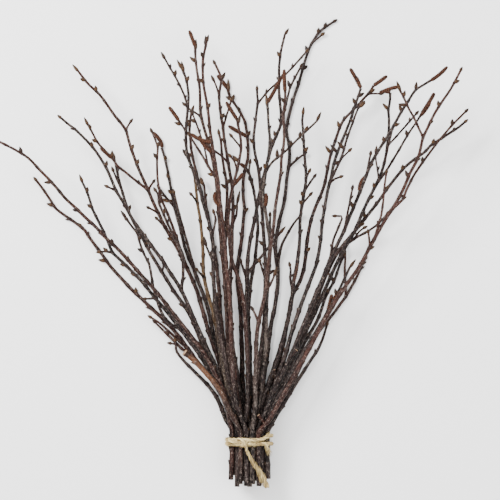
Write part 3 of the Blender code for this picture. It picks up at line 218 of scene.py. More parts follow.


# Buds: the colours of a dark and of a golden one, and a golden highlight painted on their scale edges.
budShades = {
    "pale": ((0.010, 0.0035, 0.0025), (0.028, 0.0105, 0.0050)),
    "deep": ((0.0030, 0.0013, 0.0010), (0.0085, 0.0032, 0.0018)),
    # a highlight painted on the scale edges, dull on dark buds and golden on golden ones
    "paintedHighlight": ((0.026, 0.015, 0.011), (0.115, 0.062, 0.026)),
}


def budFinish():
    recipe = Recipe("bud scales")
    fleck = recipe.noise(recipe.placed(), 900.0)
    streak = recipe.noise(recipe.straight((900, 900, 150)))
    tint = recipe.stored("tint")
    pale, deep, paintedHighlight = (recipe.mix(tint, *budShades[name]) for name in ("pale", "deep", "paintedHighlight"))
    colour = recipe.mix(recipe.stored("along") * 0.8 + fleck * 0.9 - 0.45, pale, deep)
    return recipe.finish(
        # the scale edges lightened with a painted highlight, streaked along the bud
        Base_Color=recipe.mix(recipe.stored("joint") * (0.1 + streak * 0.8), colour, paintedHighlight),
        Roughness=0.34 + fleck * 0.2,
        Normal=recipe.bumped(fleck + streak, 0.45, 0.4 * mm),
        Specular_IOR_Level=0.12,
    )


catkinShades = {
    "warm": ((0.038, 0.0100, 0.0065), (0.064, 0.0200, 0.0110)),
    "dark": (0.0040, 0.0015, 0.0012),
    # a highlight painted on the scale edges
    "paintedHighlight": (0.135, 0.078, 0.048),
    "end": (0.030, 0.012, 0.008),
}


def catkinFinish():
    recipe = Recipe("catkin scales")
    fleck = recipe.noise(recipe.placed(), 700.0)
    warm = recipe.mix(recipe.stored("tint"), *catkinShades["warm"])
    colour = recipe.mix(fleck * 2.6 - 0.8, catkinShades["dark"], warm)
    # every other ring's scale edges lightened in flecks with a painted highlight
    colour = recipe.mix(recipe.stored("joint") * (fleck * 1.8 - 0.6), colour, catkinShades["paintedHighlight"])
    colour = recipe.mix(recipe.stored("along") ** 6.0 * 0.5, colour, catkinShades["end"])
    return recipe.finish(
        Base_Color=colour,
        Roughness=0.6,
        Normal=recipe.bumped(fleck, 0.5, 0.5 * mm),
        Specular_IOR_Level=0.05,
    )


raffiaShades = ((0.34, (0.090, 0.052, 0.018)), (0.46, (0.320, 0.222, 0.088)), (0.58, (0.690, 0.565, 0.285)))


def raffiaFinish():
    recipe = Recipe("raffia fibres")
    strand = recipe.noise(recipe.straight((2600, 2600, 110)), detail=4.0, rough=0.6)
    broad = recipe.noise(recipe.straight((300, 300, 90)), detail=2.0)
    shade = strand * 0.65 + broad * 0.35 + recipe.stored("tint") * 0.12 - 0.06
    return recipe.finish(
        Base_Color=recipe.ramp(shade, *raffiaShades),
        Roughness=0.72,
        Normal=recipe.bumped(strand, 0.9, 0.7 * mm),
        Specular_IOR_Level=0.2,
    )


barks = {name: barkFinish(name) for name in barkLook}
cutWood = cutFinish()
budSkin = budFinish()
catkinSkin = catkinFinish()
raffia = raffiaFinish()
print("finishes mixed")

# What every tube shares: the step of its centre line, its cut face and the slots of its finishes.
tubeLook = {"step": 0.5 * mm, "cutEdge": 0.25 * mm, "cutDepth": 0.12 * mm}
skins = {"bark": 0, "raffia": 0, "cut": 1, "bud": 2, "catkin": 3}


def smoothLine(points, softness):
    # a line of short even steps through the points, its corners rounded a little
    points = np.array([tuple(point) for point in points])
    spans = np.linalg.norm(np.diff(points, axis=0), axis=1)
    run = np.concatenate([[0.0], np.cumsum(spans)])
    count = max(int(round(run[-1] / tubeLook["step"])), 4)
    fine = np.linspace(0.0, run[-1], count + 1)
    line = np.array([np.interp(fine, run, points[:, axis]) for axis in range(3)]).T
    reach = min(int(softness / tubeLook["step"]), count // 3)
    if reach > 0:
        weights = np.hanning(2 * reach + 3)[1:-1]
        weights /= weights.sum()
        before = 2 * line[0] - line[1 : reach + 1][::-1]
        after = 2 * line[-1] - line[-reach - 1 : -1][::-1]
        wide = np.vstack([before, line, after])
        line = np.array([np.convolve(wide[:, axis], weights, "valid") for axis in range(3)]).T
    return line, fine


def placesAt(line, fine, runs):
    even = np.array([np.interp(runs, fine, line[:, axis]) for axis in range(3)]).T
    return [Vector(place) for place in even]


def ringFrames(line, radii):
    # where each ring of a tube stands, which way it faces and how wide it is
    frames = []
    across = None
    for index, place in enumerate(line):
        ahead = line[min(index + 1, len(line) - 1)]
        behind = line[max(index - 1, 0)]
        along = (ahead - behind).normalized()
        if across is None:
            across = Vector((0, 0, 1)) if abs(along.z) < 0.8 else Vector((1, 0, 0))
        across = (across - along * across.dot(along)).normalized()
        turn = Matrix((across, along.cross(across), along)).transposed().to_4x4()
        frames.append(Matrix.Translation(place) @ turn @ Matrix.Scale(float(radii[index]), 4))
    return frames


def newShape():
    shape = bmesh.new()
    marks = {name: shape.verts.layers.float.new(name) for name in ("youth", "joint", "along", "tint")}
    marks["straight"] = shape.verts.layers.float_vector.new("straight")
    return shape, marks


def drawnOut(shape, edges, skin):
    # a ring of edges drawn out to a new ring
    grown = bmesh.ops.extrude_edge_only(shape, edges=edges)["geom"]
    for item in grown:
        if isinstance(item, bmesh.types.BMFace):
            item.material_index = skins[skin]
            item.smooth = True
    ring = [item for item in grown if isinstance(item, bmesh.types.BMVert)]
    held = set(ring)
    edges = [item for item in grown if isinstance(item, bmesh.types.BMEdge) and set(item.verts) <= held]
    return ring, edges


def growTube(shape, marks, frames, runs, notes, sides, skin, start="closed", end="closed"):
    # a circle drawn out ring by ring; each ring keeps its place on the straight twig
    ring = bmesh.ops.create_circle(shape, segments=sides, radius=1.0, matrix=frames[0])["verts"]
    first = edges = list({edge for vert in ring for edge in vert.link_edges})
    rings = [ring]
    for index in range(1, len(frames)):
        ring, edges = drawnOut(shape, edges, skin)
        step = frames[index] @ frames[index - 1].inverted()
        bmesh.ops.transform(shape, matrix=step, verts=ring)
        rings.append(ring)
    for index, ring in enumerate(rings):
        back = frames[index].inverted()
        width = frames[index].to_scale().x
        for vert in ring:
            local = back @ vert.co
            vert[marks["straight"]] = (local.x * width, local.y * width, runs[index])
            for name, values in notes.items():
                vert[marks[name]] = float(values[index])
    for style, side in ((start, first), (end, edges)):
        if style == "cut":
            capped = bmesh.ops.edgeloop_fill(shape, edges=side, mat_nr=skins["cut"])["faces"]
            depth, edge = tubeLook["cutDepth"], tubeLook["cutEdge"]
            bmesh.ops.inset_region(shape, faces=capped, thickness=edge, depth=depth)
        elif style == "closed":
            bmesh.ops.edgeloop_fill(shape, edges=side, mat_nr=skins[skin])
    return edges


def pointedEnd(shape, edges, skin, tip):
    ring, _ = drawnOut(shape, edges, skin)
    bmesh.ops.pointmerge(shape, verts=ring, merge_co=tip)


def gathered(shape, part):
    sheet = bpy.data.meshes.new("part")
    part.to_mesh(sheet)
    part.free()
    shape.from_mesh(sheet)
    bpy.data.meshes.remove(sheet)


def finished(shape, name, finishes, nodes, slot):
    for vert in shape.verts:
        vert.co.z = max(vert.co.z, board["lowest"])  # pressed flat where it lies on the table
    bmesh.ops.recalc_face_normals(shape, faces=shape.faces)
    mesh = bpy.data.meshes.new(name)
    shape.to_mesh(mesh)
    shape.free()
    for finish in finishes:
        mesh.materials.append(finish)
    piece = bpy.data.objects.new(name, mesh)
    bpy.context.scene.collection.objects.link(piece)
    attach(piece, "root")
    if nodes:
        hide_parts(*nodes)
    return piece


# How the butts are packed under the tie, and where the tie holds them, in board units.
packing = {"pitch": 5.9, "spread": 1.06, "tieLow": 455, "tieHigh": 432}

# The long free end and its fibres.
tailLook = {
    "twine": {
        "plies": 2,
        "ply": (0.92 * mm, 1.55 * mm),
        "offset": (0.66 * mm, 1.4 * mm),
        "pitch": 15 * mm,
    },
    "route": "246.2,449.6,38.2 249.0,455.2,37.4 252.0,460.7,37.2 255.2,466.0,37.2 259.2,470.8,37.0 "
    "262.6,475.8,35.8 265.0,481.4,33.8 267.0,487.6,32.4",
    "wraps": (34, 18 * mm),
    # frays: root and aim, count, spread and width
    "frays": (
        ("260.0,471.6,37.0 264.2,487.4,33.2", 64, 4.2 * mm, 0.26 * mm),
        ("256.8,467.2,37.6 261.0,480.0,36.2", 12, 2.2 * mm, 0.22 * mm),
    ),
}

# The two turns, the knot and the short end.
tieLook = {
    "rows": (5, 6, 7, 6, 7, 4),
    "firstRow": 6.15,
    "rowRise": 5.35,
    "reach": 4.7,
    "steps": 40,
    "levels": ((-1.95, 0.0), (2.0, 4.2)),
    "risesFrom": 12,
    "risesOver": 8,
    "knotEdge": 246,
    "fullness": (1.06, 0.86),
    "twine": {
        "plies": 3,
        "ply": (1.15 * mm, 1.15 * mm),
        "offset": (0.95 * mm, 0.95 * mm),
        "pitch": 15 * mm,
    },
    "wraps": (70, 26 * mm),
    "loop": {
        "plies": 3,
        "ply": (0.95 * mm, 0.85 * mm),
        "offset": (0.75 * mm, 0.7 * mm),
        "pitch": 13 * mm,
    },
    "loopWraps": (10, 9 * mm),
    "loops": (
        "236.6,441.2,38.6 239.6,444.2,39.9 242.6,445.8,40.2 245.4,444.2,40.0 247.4,441.0,38.0",
        "237.6,439.4,39.2 241.2,439.2,40.3 244.2,441.4,40.9 245.8,445.6,40.4 246.4,450.4,38.2",
    ),
    "overlay": "227.6,440.4,32.6 229.4,440.8,36.6 233.6,441.6,39.2 238.8,442.6,39.6 243.6,443.6,40.4",
    "end": {
        "plies": 2,
        "ply": (0.85 * mm, 0.5 * mm),
        "offset": (0.6 * mm, 0.8 * mm),
        "pitch": 12 * mm,
    },
    "shortEnd": "264.4,442.6,36.0 266.6,446.0,34.6 269.0,450.0,32.8",
    "frays": (
        ("266.0,445.0,35.0 270.2,457.0,31.6", 34, 2.8 * mm, 0.22 * mm),
        ("264.6,442.4,36.0 266.2,452.4,33.6", 10, 1.6 * mm, 0.18 * mm),
        ("265.6,436.6,34.8 271.0,431.6,31.6", 10, 1.8 * mm, 0.16 * mm),
    ),
    # fuzz: middle, half size, count and length
    "fuzz": (
        ((267.6, 441.0, 31.5), (2.6, 6.0, 4.0), 40, 6 * mm),
        ((228.4, 442.0, 31.5), (1.6, 4.6, 4.5), 34, 5 * mm),
        ((246.0, 442.0, 39.0), (15.0, 4.2, 1.4), 46, 5 * mm),
    ),
}
fibreLook = {
    "softness": 0.8 * mm,
    "step": 1.3 * mm,
    "sides": 4,
    "narrowing": 0.6,
    "wrap": (0.10 * mm, 0.20 * mm),
}
twineLook = {"softness": 2 * mm, "step": 0.9 * mm, "sides": 8, "wave": (0.10, 0.9)}


def between(pair, share):
    return pair[0] + (pair[1] - pair[0]) * share


def aside(made, angle, reach):
    # a place off a line's own frame
    return made.translation + made.to_3x3() @ Vector((math.cos(angle), math.sin(angle), 0)) * reach


def growStrand(shape, line, widths, runs, sides):
    # one ply or fibre, in the shade of its own
    notes = {"tint": [random.random()] * len(runs)}
    part, marks = newShape()
    growTube(part, marks, ringFrames(line, widths), runs, notes, sides, "raffia")
    gathered(shape, part)


def growTwine(shape, points, look, full=None):
    # plies wound round one line, each with a wavy width of its own
    line, fine = smoothLine(points, twineLook["softness"])
    count = max(int(fine[-1] / twineLook["step"]), 8)
    runs = np.linspace(0, fine[-1], count + 1)
    frames = ringFrames(placesAt(line, fine, runs), [1.0] * len(runs))
    height, speed = twineLook["wave"]
    for ply in range(look["plies"]):
        turned, widths = [], []
        drift = random.uniform(0, 6)
        for index, made in enumerate(frames):
            fullness = full(made.translation) if full else 1.0
            angle = 2 * math.pi * (ply / look["plies"] + runs[index] / look["pitch"])
            turned.append(aside(made, angle, between(look["offset"], index / count) * fullness))
            wave = 1 + height * math.sin(speed * index + drift)
            widths.append(between(look["ply"], index / count) * fullness * wave)
        growStrand(shape, turned, widths, runs, twineLook["sides"])


def growFibre(shape, points, width):
    line, fine = smoothLine(points, fibreLook["softness"])
    runs = np.linspace(0, fine[-1], max(int(fine[-1] / fibreLook["step"]), 3) + 1)
    radii = [width * (1 - fibreLook["narrowing"] * run / fine[-1]) for run in runs]
    growStrand(shape, placesAt(line, fine, runs), radii, runs, fibreLook["sides"])


def growWraps(shape, points, look, count, stretch):
    # fibres that lie along the twine and lift off it at their far end
    line, fine = smoothLine(points, twineLook["softness"])
    for _ in range(count):
        start = random.uniform(0, max(fine[-1] - stretch, 0.1 * mm))
        runs = np.linspace(start, min(start + random.uniform(0.5, 1.0) * stretch, fine[-1]), 9)
        frames = ringFrames(placesAt(line, fine, runs), [1.0] * len(runs))
        angle = random.uniform(0, 2 * math.pi)
        loose = random.choice((0.0, 0.0, 0.4, 0.9, 1.6)) * mm
        laid = []
        for index, made in enumerate(frames):
            share = runs[index] / fine[-1]
            reach = (between(look["offset"], share) + between(look["ply"], share)) * 0.97
            reach += loose * (index / 8) ** 2
            laid.append(aside(made, angle + 2 * math.pi * runs[index] / look["pitch"], reach))
        growFibre(shape, laid, random.uniform(*fibreLook["wrap"]))


def growFray(shape, route, count, spread, width):
    # a brush of fibres that fan out from a cut end
    root, aim = drawn(route)
    ahead = aim - root
    across = ahead.cross(Vector((0, 0, 1))).normalized()
    for _ in range(count):
        lean = random.uniform(-1, 1)
        rise = random.uniform(-0.35, 0.6) * mm
        reach = random.uniform(0.55, 1.0)
        first = root + across * lean * 1.1 * mm + Vector((0, 0, rise))
        bow = lean * spread * 0.55 + random.uniform(-0.5, 0.5) * mm
        fan = lean * spread + random.uniform(-0.9, 0.9) * mm
        middle = root + ahead * 0.45 * reach + across * bow
        last = root + ahead * reach + across * fan
        middle.z += rise * 1.5
        last.z += random.uniform(-1.0, 1.0) * mm
        growFibre(shape, [first, middle, last], random.uniform(0.6, 1.2) * width)


def growFuzz(shape, around, size, count, length):
    # short stray fibres round one place of the tie
    for _ in range(count):
        start = onBoard(*(value + random.uniform(-1, 1) * half for value, half in zip(around, size)))
        way = Vector((random.gauss(0, 1), random.gauss(0, 1), random.gauss(0, 0.5))).normalized()
        bend = Vector((random.gauss(0, 1), random.gauss(0, 1), random.gauss(0, 0.4))).normalized()
        reach = random.uniform(0.4, 1.0) * length
        middle = start + way * reach * 0.5
        end = middle + way * reach * 0.3 + bend * reach * 0.35
        growFibre(shape, [start, middle, end], 0.1 * mm)


def tieOutline():
    # where the twine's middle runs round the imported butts
    ends = []
    for row, count in enumerate(tieLook["rows"]):
        for order in (0, count - 1):
            across = (order - (count - 1) / 2) * packing["pitch"]
            ends.append((across, tieLook["firstRow"] + row * tieLook["rowRise"]))
    outline = []
    for step in range(tieLook["steps"]):
        angle = 2 * math.pi * (step + 0.5) / tieLook["steps"]
        way = (math.cos(angle), math.sin(angle))
        x, z = max(ends, key=lambda end: end[0] * way[0] + end[1] * way[1])
        outline.append((x + tieLook["reach"] * way[0], z + tieLook["reach"] * way[1]))
    return outline + outline[:1]


def fuller(place):
    # the wrap is thick left of the knot and slacker right of it
    left, right = tieLook["fullness"]
    return left if place.x < onBoard(tieLook["knotEdge"], 0).x else right


# The long free end is a cord of its own, so it is laid first.
tailPoints = drawn(tailLook["route"])
shape, _ = newShape()
growTwine(shape, tailPoints, tailLook["twine"])
tail = finished(shape, "raffia_tail", [raffia], ["tie_tail"], "raffia")
shape, _ = newShape()
growWraps(shape, tailPoints, tailLook["twine"], *tailLook["wraps"])
for fray in tailLook["frays"]:
    growFray(shape, *fray)
tailFray = finished(shape, "raffia_tail_fray", [raffia], [], "raffia")
line, fine = smoothLine(tailPoints, twineLook["softness"])
print("tail laid")

shape, _ = newShape()
for level, rise in tieLook["levels"]:
    points = []
    for x, z in tieOutline():
        share = (x - tieLook["risesFrom"]) / tieLook["risesOver"]
        height = level + rise * max(0.0, min(1.0, share))
        points.append(onBoard(board["middle"] + x, board["tie"] - height, z))
    growTwine(shape, points, tieLook["twine"], fuller)
    growWraps(shape, points, tieLook["twine"], *tieLook["wraps"])
for route in tieLook["loops"]:
    growTwine(shape, drawn(route), tieLook["loop"])
    growWraps(shape, drawn(route), tieLook["loop"], *tieLook["loopWraps"])
growTwine(shape, drawn(tieLook["overlay"]), tieLook["loop"])
growTwine(shape, drawn(tieLook["shortEnd"]), tieLook["end"])
for fray in tieLook["frays"]:
    growFray(shape, *fray)
for fuzz in tieLook["fuzz"]:
    growFuzz(shape, *fuzz)
finished(shape, "raffia_tie", [raffia], ["tie"], "raffia")
print("tie wound")

twigRows = [
    [
        {"name": "twig_03", "butt": 478, "bark": "red",
         "stem": "222,396 213,383 204,371 195,360 187,349 180,339 172,329 160,317 149,307 141,299 131,290 "
             "120,278 109,266 103,257 97,249 88,237 84,230 75,223 62,214 54,208 50,201 42,189 35,180",
         "buds": "46,203.5 80,226.5 98,260 135,288", "branches": [
            {"route": "187,349 181,343 174,334 167,328 159,323 151,318"},
            {"route": "190,354 183,351 176,344 167,335 160,328 155,323", "buds": "167,332"},
        ]},
        {"name": "twig_09", "butt": 482,
         "stem": "228,393 224,376 219,360 215,345 212,330 210,318 207,307 204,297 200,287 196,277 192,266 "
             "188,257 184,247 182,237 179,225 176,215 174,206 172,196 170,186 168,175 166,165 164,156 "
             "161,147", "buds": "165,158 168,177 169,191 158,199", "catkins": ["161,147 163,142 152,131"],
         "branches": [
            {"fork": True,
             "route": "197,279 196,270 192,259 188,249 185,238 182,226 179,214 176,203 174,193"},
            {"route": "174,208 168,200 163,194 159,188"},
        ]},
        {"name": "twig_17", "butt": 485, "bark": "red",
         "stem": "243,395 242,375 242,355 241,335 241,322 240,305 238,290 237,275 238,262 240,250 242,236 "
             "243,222 244.5,209 243,195 243,180 245,168 248,158 248,146 247,133 245,121 241,113 236,105 "
             "230,97 227,87", "buds": "228,79 234,94 226,96 239,109 250,131 247,209",
         "catkins": ["246,136 238,131 228,125", "228,87 222,80 217,74"]},
        {"name": "twig_24", "butt": 480,
         "stem": "262,394 264,376 267,358 269,340 271,325 274,312 276,300 278,284 278,270 276,258 275,246 "
             "277,233 280,218 284,204 286,190 287,177 289,165 290,153 289,142 286,131 288,120 291,108 "
             "294,97 298,86 301,75 304,64 308,51 312,42 317,34 320,30 327,25 334,20.5",
         "buds": "306,45 306,66 319,28 326,23", "branches": [
            {"route": "312,42 318,37 322,34"},
            {"route": "289,167 292,163 298,158 304,154"},
            {"fork": True, "route": "286,134 283,122 284,113 286,104 288,96 290,87 295,77 301,66",
             "buds": "288,80"},
            {"fork": True, "route": "278,269 279,256 282,244 288,233 294,223 300,216"},
        ]},
        {"name": "twig_32", "butt": 483, "bark": "red",
         "stem": "268,426 276,412 285,396 294,381 301,366 307,352 313,341 320,331 327,322 334,314 341,304 "
             "347,296 352,287 358,276 362,267 366,259", "branches": [
            {"fork": True, "route": "346,297 346,284 345,270 346,256 345,245"},
        ]},
    ],
    [
        {"name": "twig_01", "butt": 476,
         "stem": "226,422 221,408 216,397 208,386 196,374 184,362 178,355 175,350 176,345 175,342",
         "branches": [
            {"route": "216,397 217,400"},
            {"route": "176,345 171,344"},
        ]},
        {"name": "twig_06", "butt": 481,
         "stem": "225,394 218,379 211,365 204,350 198,335 192,320 186,309 179,299 173,291 167,281 162,273 "
             "157,265 151,255 146,246 141,236 135,226 130,216 127,208 124,199 121,189 118,178 116,168 "
             "114,159", "tipBud": "112,151", "buds": "130,205 146,244 181,305", "branches": [
            {"route": "122,193 119,185 116,177 113,171", "tipBud": "111,166"},
            {"route": "161,271 164,266 163,264"},
        ]},
        {"name": "twig_12", "butt": 484,
         "stem": "231,395 228,375 225,352 222,332 220,314 219,292 217,272 215,255 212,240 210,228 208,216 "
             "205,206 202,196 199,185 196,172 193,160 191,150 190,140 189,130 190,120 191,112",
         "tipBud": "194,104", "buds": "187,122 183,152 208,228", "branches": [
            {"route": "208,212 204,202 203,192 204,185 202,181", "buds": "200,179"},
        ]},
        {"name": "twig_16", "butt": 479,
         "stem": "239,392 237,374 234,356 231,340 229,325 228,310 227,295 226,280 225,262 225,245 226,228 "
             "226,212 227,198 227,186 225,174 223,163 221.5,152 221,141 219,134", "tipBud": "218,128",
         "buds": "221,184 231,178"},
        {"name": "twig_21", "butt": 483,
         "stem": "251,392 250,372 250,352 249,335 248,318 249,302 250,288 252,275 255,260 256.5,245 "
             "258,228 257,212 255,198 253,186 250,175 247,169 243,165",
         "catkins": ["243,166 246,168 240,163"], "branches": [
            {"route": "249,172 249.5,167 250,163"},
            {"route": "254,191 251,185 250,180"},
        ]},
        {"name": "twig_26", "butt": 478, "bark": "red",
         "stem": "268,395 273,378 279,362 283,346 286,330 289,315 291,300 295,290 300,282 304,270 306,256 "
             "307,243 309,230 312,217 316,206 321,195 325,184 327,173 329,163 331,154 334,145 337,136 "
             "340,127 344,119 351,112 358,105 364,98 370,92 374,85",
         "buds": "338,121 373,90 326,146 310,248", "catkins": ["374,85 380,81 388,75"], "branches": [
            {"route": "369,94 375,93 380,93"},
        ]},
    ],
    [
        {"name": "twig_04", "butt": 479,
         "stem": "225,400 217,385 208,369 198,353 189,341 180,329 172,319 165,310 157,301 149,291 141,281 "
             "133,273 126,266 120,260 112,253 108,243 104,233 98,221 92,209 89,198 86,190 82,182",
         "tipBud": "79,174", "buds": "87,190 88,205 123,265 134,275", "branches": [
            {"fork": True,
             "route": "180,329 172,326 164,318 159,308 155,298 153,288 151,275 149,264 144,255 140,245 "
                 "137,233 131,226 125,217", "tipBud": "120,210", "buds": "126,219 138,249 140,237"},
            {"route": "155,298 150,299 146,299"},
            {"route": "112,253 106,251.5 100,252", "buds": "103,248"},
        ]},
        {"name": "twig_08", "butt": 485, "bark": "red",
         "stem": "229,398 225,382 220,366 215,351 210,337 206,324 203,313 200,303 197,292 192,280 186,267 "
             "180,254 174,243 168,233 163,224 159,215 155,207 151,198 147,188 142,177 138,168 135,160 "
             "131,149 128,139 126,130 120,122 114,115 108,106 100,95 96,91 88,84 84,79 78,71",
         "tipBud": "72,64", "buds": "82.5,79.5 95.5,87 133,145 138,160 167,238", "branches": [
            {"fork": True,
             "route": "148,190 140,184 131,177 124,171 118,167 112,158 104,150 97,142 92,132 88,125",
             "tipBud": "84,117", "buds": "93,140 90,127 112,151", "catkins": ["112,158 106,153 100,147"]},
            {"route": "126,130 128,125 130,122", "tipBud": "133,118"},
            {"route": "148,190 150,186 153,182"},
            {"route": "158,213 154,211 149,208"},
            {"route": "165,227 161,224 157,219"},
            {"fork": True,
             "route": "187,269 183,257 178,243 174,231 170,220 166,210 161,199 159,189 157.5,180 157,170 "
                 "157,158 158,147 155,139 152,132", "buds": "154,154 159,143"},
        ]},
        {"name": "twig_13", "butt": 480, "bark": "grey",
         "stem": "234,396 231,378 229,360 228,340 227,320 226,302 225,286 224,270 222,256 221,243 220,230 "
             "219,218 218,205 217,192 216,180 214,168 212,157 209,147 207,138 204,128 201,117 200,107 "
             "200,96 199.5,85 197,72 195.5,60 195,46", "buds": "190,57 196,40 211,135 217,169",
         "catkins": ["195,45 193,40 189,30"], "branches": [
            {"route": "201,118 197,113 192,111 189,109 185,105"},
        ]},
        {"name": "twig_19", "butt": 483,
         "stem": "249,396 249,378 248,360 247,342 246,325 246,306 247,288 247,271 248,255 250,240 253,227 "
             "256,213 258,200 261,187 264,175 267,163 270,152 273,143 277,134 281,125 281,113 280,103 "
             "279,92 279,78 279,66 280,58 281,50 283,42 285,34", "tipBud": "289,28",
         "buds": "278,53 274,131 271,138", "branches": [
            {"fork": True, "route": "247,274 253,266 261,257 268,248 275,239 280,233", "tipBud": "286,226"},
            {"route": "247,280 244,271 241,262"},
        ]},
        {"name": "twig_25", "butt": 478,
         "stem": "264,397 270,380 275,365 280,350 284,335 288,320 291,306 293,292 294,278 297,265 299,250 "
             "300,236 300,220 302,205 304,193 306,182 306,172 305,160 304,148 303.5,136 303,128 302,120 "
             "303,114", "tipBud": "304,106", "buds": "308,147 302,193 300,201",
         "catkins": ["300,262 297,270 293,284"], "branches": [
            {"route": "306,178 309,172"},
            {"route": "306,192 308,185 311,181 314,177"},
            {"route": "303,204 306,199 310,195"},
            {"route": "293,292 290,280 291,270 290,266"},
        ]},
        {"name": "twig_30", "butt": 481,
         "stem": "272,399 280,382 288,365 295,349 302,333 309,318 315,304 320,291 325,278 331,265 338,252 "
             "345,243 351,236 357,229 364,220 372,210 379,201 385,192 391,184 398,175 404,168 412,161 "
             "418,157 425,152 431,145 437,141 444,137 451,132 458,128 465,122",
         "buds": "434,140 403,166 387,189 363,224 365,215", "branches": [
            {"fork": True, "route": "340,250 350,242 357,237 363,234 370,230 377,225 383,219 387,214"},
            {"route": "354,239 358,234 361,229 364,228"},
        ]},
        {"name": "twig_34", "butt": 477,
         "stem": "274,399 283,384 292,368 299,354 305,342 311,332 317,322 321,312 324,302 327,294 331,287 "
             "335,280 338,270 341,262 344,256", "buds": "333,279 327,289"},
    ],
    [
        {"name": "twig_07", "butt": 474,
         "stem": "228,400 222,384 216,368 208,351 201,335 194,320 189,307 184,296 180,288 175,280 168,270 "
             "163,261 156,252 150,244 143,234 136,225 131,217 128,211 125,205 121,199 116,191 112,181 "
             "107,169 101,159 95,150 89,143 83,137 76,130 68,124 61,118", "buds": "92,145 107,161",
         "branches": [
            {"route": "116,191 113,188 108,187"},
            {"fork": True,
             "route": "181,290 183,277 183,263 181,252 176,241 171,231 166,220 161,208 158,201 159,195 "
                 "156,191", "buds": "164,212"},
            {"route": "151,245 148,250 152,256"},
        ]},
        {"name": "twig_10", "butt": 482, "bark": "tan",
         "stem": "230,398 226,382 222,364 219,345 216,326 212,308 208,296 205,284 203,272 203,258 "
             "202.5,245 201.5,232 200,218 197.5,204 196,190 195,178 192,168 188,158 185,153",
         "buds": "184,151 202,266", "branches": [
            {"route": "197,203 195,198 192,195", "tipBud": "189,192"},
            {"route": "203,278 201,273 197,270"},
            {"route": "215,318 212,300 213,282 213,264 210,255 206,246", "tipBud": "204,236"},
        ]},
        {"name": "twig_15", "butt": 485, "bark": "red",
         "stem": "237,397 235,378 234,360 232,342 231,320 230,300 230,280 231,262 232,245 232,228 233,212 "
             "233,198 232,186 230,174 228,162 226,150 224,138 223,127 221,117 220,108 219,98 220,88 222,79 "
             "218,70 215,64", "buds": "225,73 224,114 235,207", "branches": [
            {"route": "219,97 217,88 214,81", "tipBud": "211,75"},
            {"route": "223,128 226,117 229,108 231,101"},
            {"route": "228,163 223,157 216,152 210,148 205,144"},
            {"route": "234,226 237,213 237,203", "tipBud": "240,190"},
        ]},
        {"name": "twig_20", "butt": 480,
         "stem": "256,397 258,378 260,360 262,343 264,325 265,306 265,288 266,272 265,257 264,241 263,226 "
             "262,212 261,199 260,186 259,172 256,159 254,148 253.5,137 255,125 256.5,112 258,101 257,95 "
             "257,90", "buds": "250,139 261,168 259,241", "branches": [
            {"fork": True, "route": "257.5,104 267,92 280,80 290,70 300,59 306,52"},
            {"route": "266,280 262,268 260,262"},
        ]},
        {"name": "twig_27", "butt": 485,
         "stem": "269,398 276,382 282,366 287,350 291,335 296,320 301,305 306,292 311,279 316,266 319,252 "
             "321,238 322,225 324,212 326,200 328,189 331,178 333,167 336,156 340,146 344,136 348,126 "
             "352,116 355,106 358,97 361,88", "buds": "353,98 364,93 331,145 341,161",
         "catkins": ["361,88 359,83 356,76", "356,78 354,74 350,68"], "branches": [
            {"fork": True,
             "route": "330,182 335,171 341,159 344,149 347,138 351,126 354,116 358,108 362,104",
             "buds": "365,103 338,142"},
            {"route": "341,159 345,154 349,151"},
            {"route": "330,184 334,179 340,177"},
        ]},
        {"name": "twig_29", "butt": 478,
         "stem": "274,400 282,384 290,367 297,351 304,336 311,321 318,306 324,292 330,278 336,265 342,253 "
             "348,243 354,233 358,224 362,214 366,205 370,197 374,189 378,181 382,172 385,161 387,150 "
             "388,140 389,128 389,118 388,110 390,101 390,93", "buds": "383,104 372,197 374,184",
         "catkins": ["390,92 386,90 379,93"], "branches": [
            {"fork": True,
             "route": "376,186 381,178 387,170 393,160 399,150 404,141 410,131 415,124 420,116",
             "buds": "406,131", "catkins": ["420,116 426,110 430,102", "430,103 432,98 434,93"]},
            {"route": "388,146 395,138 402,130 409,122 416,114"},
            {"route": "379,181 378,170 376,160 376,153", "tipBud": "377,145"},
            {"route": "385,163 386,150 392,130"},
        ]},
    ],
    [
        {"name": "twig_05", "butt": 480, "bark": "red",
         "stem": "227,402 222,388 214,371 205,355 197,344 189,334 180,322 171,311 163,300 153,288 142,276 "
             "130,262 118,249 106,238 96,227 86,218 76,208 66,199 57,188 49,179 40,170 31,160 26,156 "
             "14,149 0,142", "buds": "20.5,147.5 45,182.5 74.5,210 112,240"},
        {"name": "twig_11", "butt": 487,
         "stem": "233,400 229,380 225,358 221,338 218,320 216,304 214,288 213,272 213,258 213,244 211,232 "
             "209,222 206,212 203,203 201,193 198,184 194,173 190,163 187,153 186,143 186,132 187,120 "
             "188,108 189,98 188,88 186,78 182,69", "tipBud": "177,60", "buds": "189,77 182,63 212,275",
         "branches": [
            {"fork": True, "route": "188,108 185,97 181,88 176,78 170,68 165,59", "tipBud": "161,52",
             "buds": "176,71"},
            {"route": "187,132 183,127 179,121", "buds": "175,123", "catkins": ["179,121 175,115 169,107"]},
            {"route": "212,238 214,228 216,219 214,213"},
        ]},
        {"name": "twig_18", "butt": 481,
         "stem": "248,400 248,382 248,364 247,347 246,330 245,315 244,302 241,289 238,277 233,265 230,250 "
             "229,235 228,220 229,206 231,194 234,182 237,171 239,161 241,151 241,141 239,130 237,120",
         "buds": "240,116 233,156", "catkins": ["237,119 232,112 226,102", "236,186 239,180 243,173"],
         "branches": [
            {"route": "237,170 234,160 231,157"},
            {"route": "241,148 237,143 232,137"},
        ]},
        {"name": "twig_22", "butt": 487, "bark": "grey",
         "stem": "260,400 262,382 264,365 266,348 266,331 266,313 267,296 268,280 269,266 270,253 270,240 "
             "268,228 266,215 264,203 263,190 265,178 266,168 268,160 269,150 270,140 269,130 268,120 "
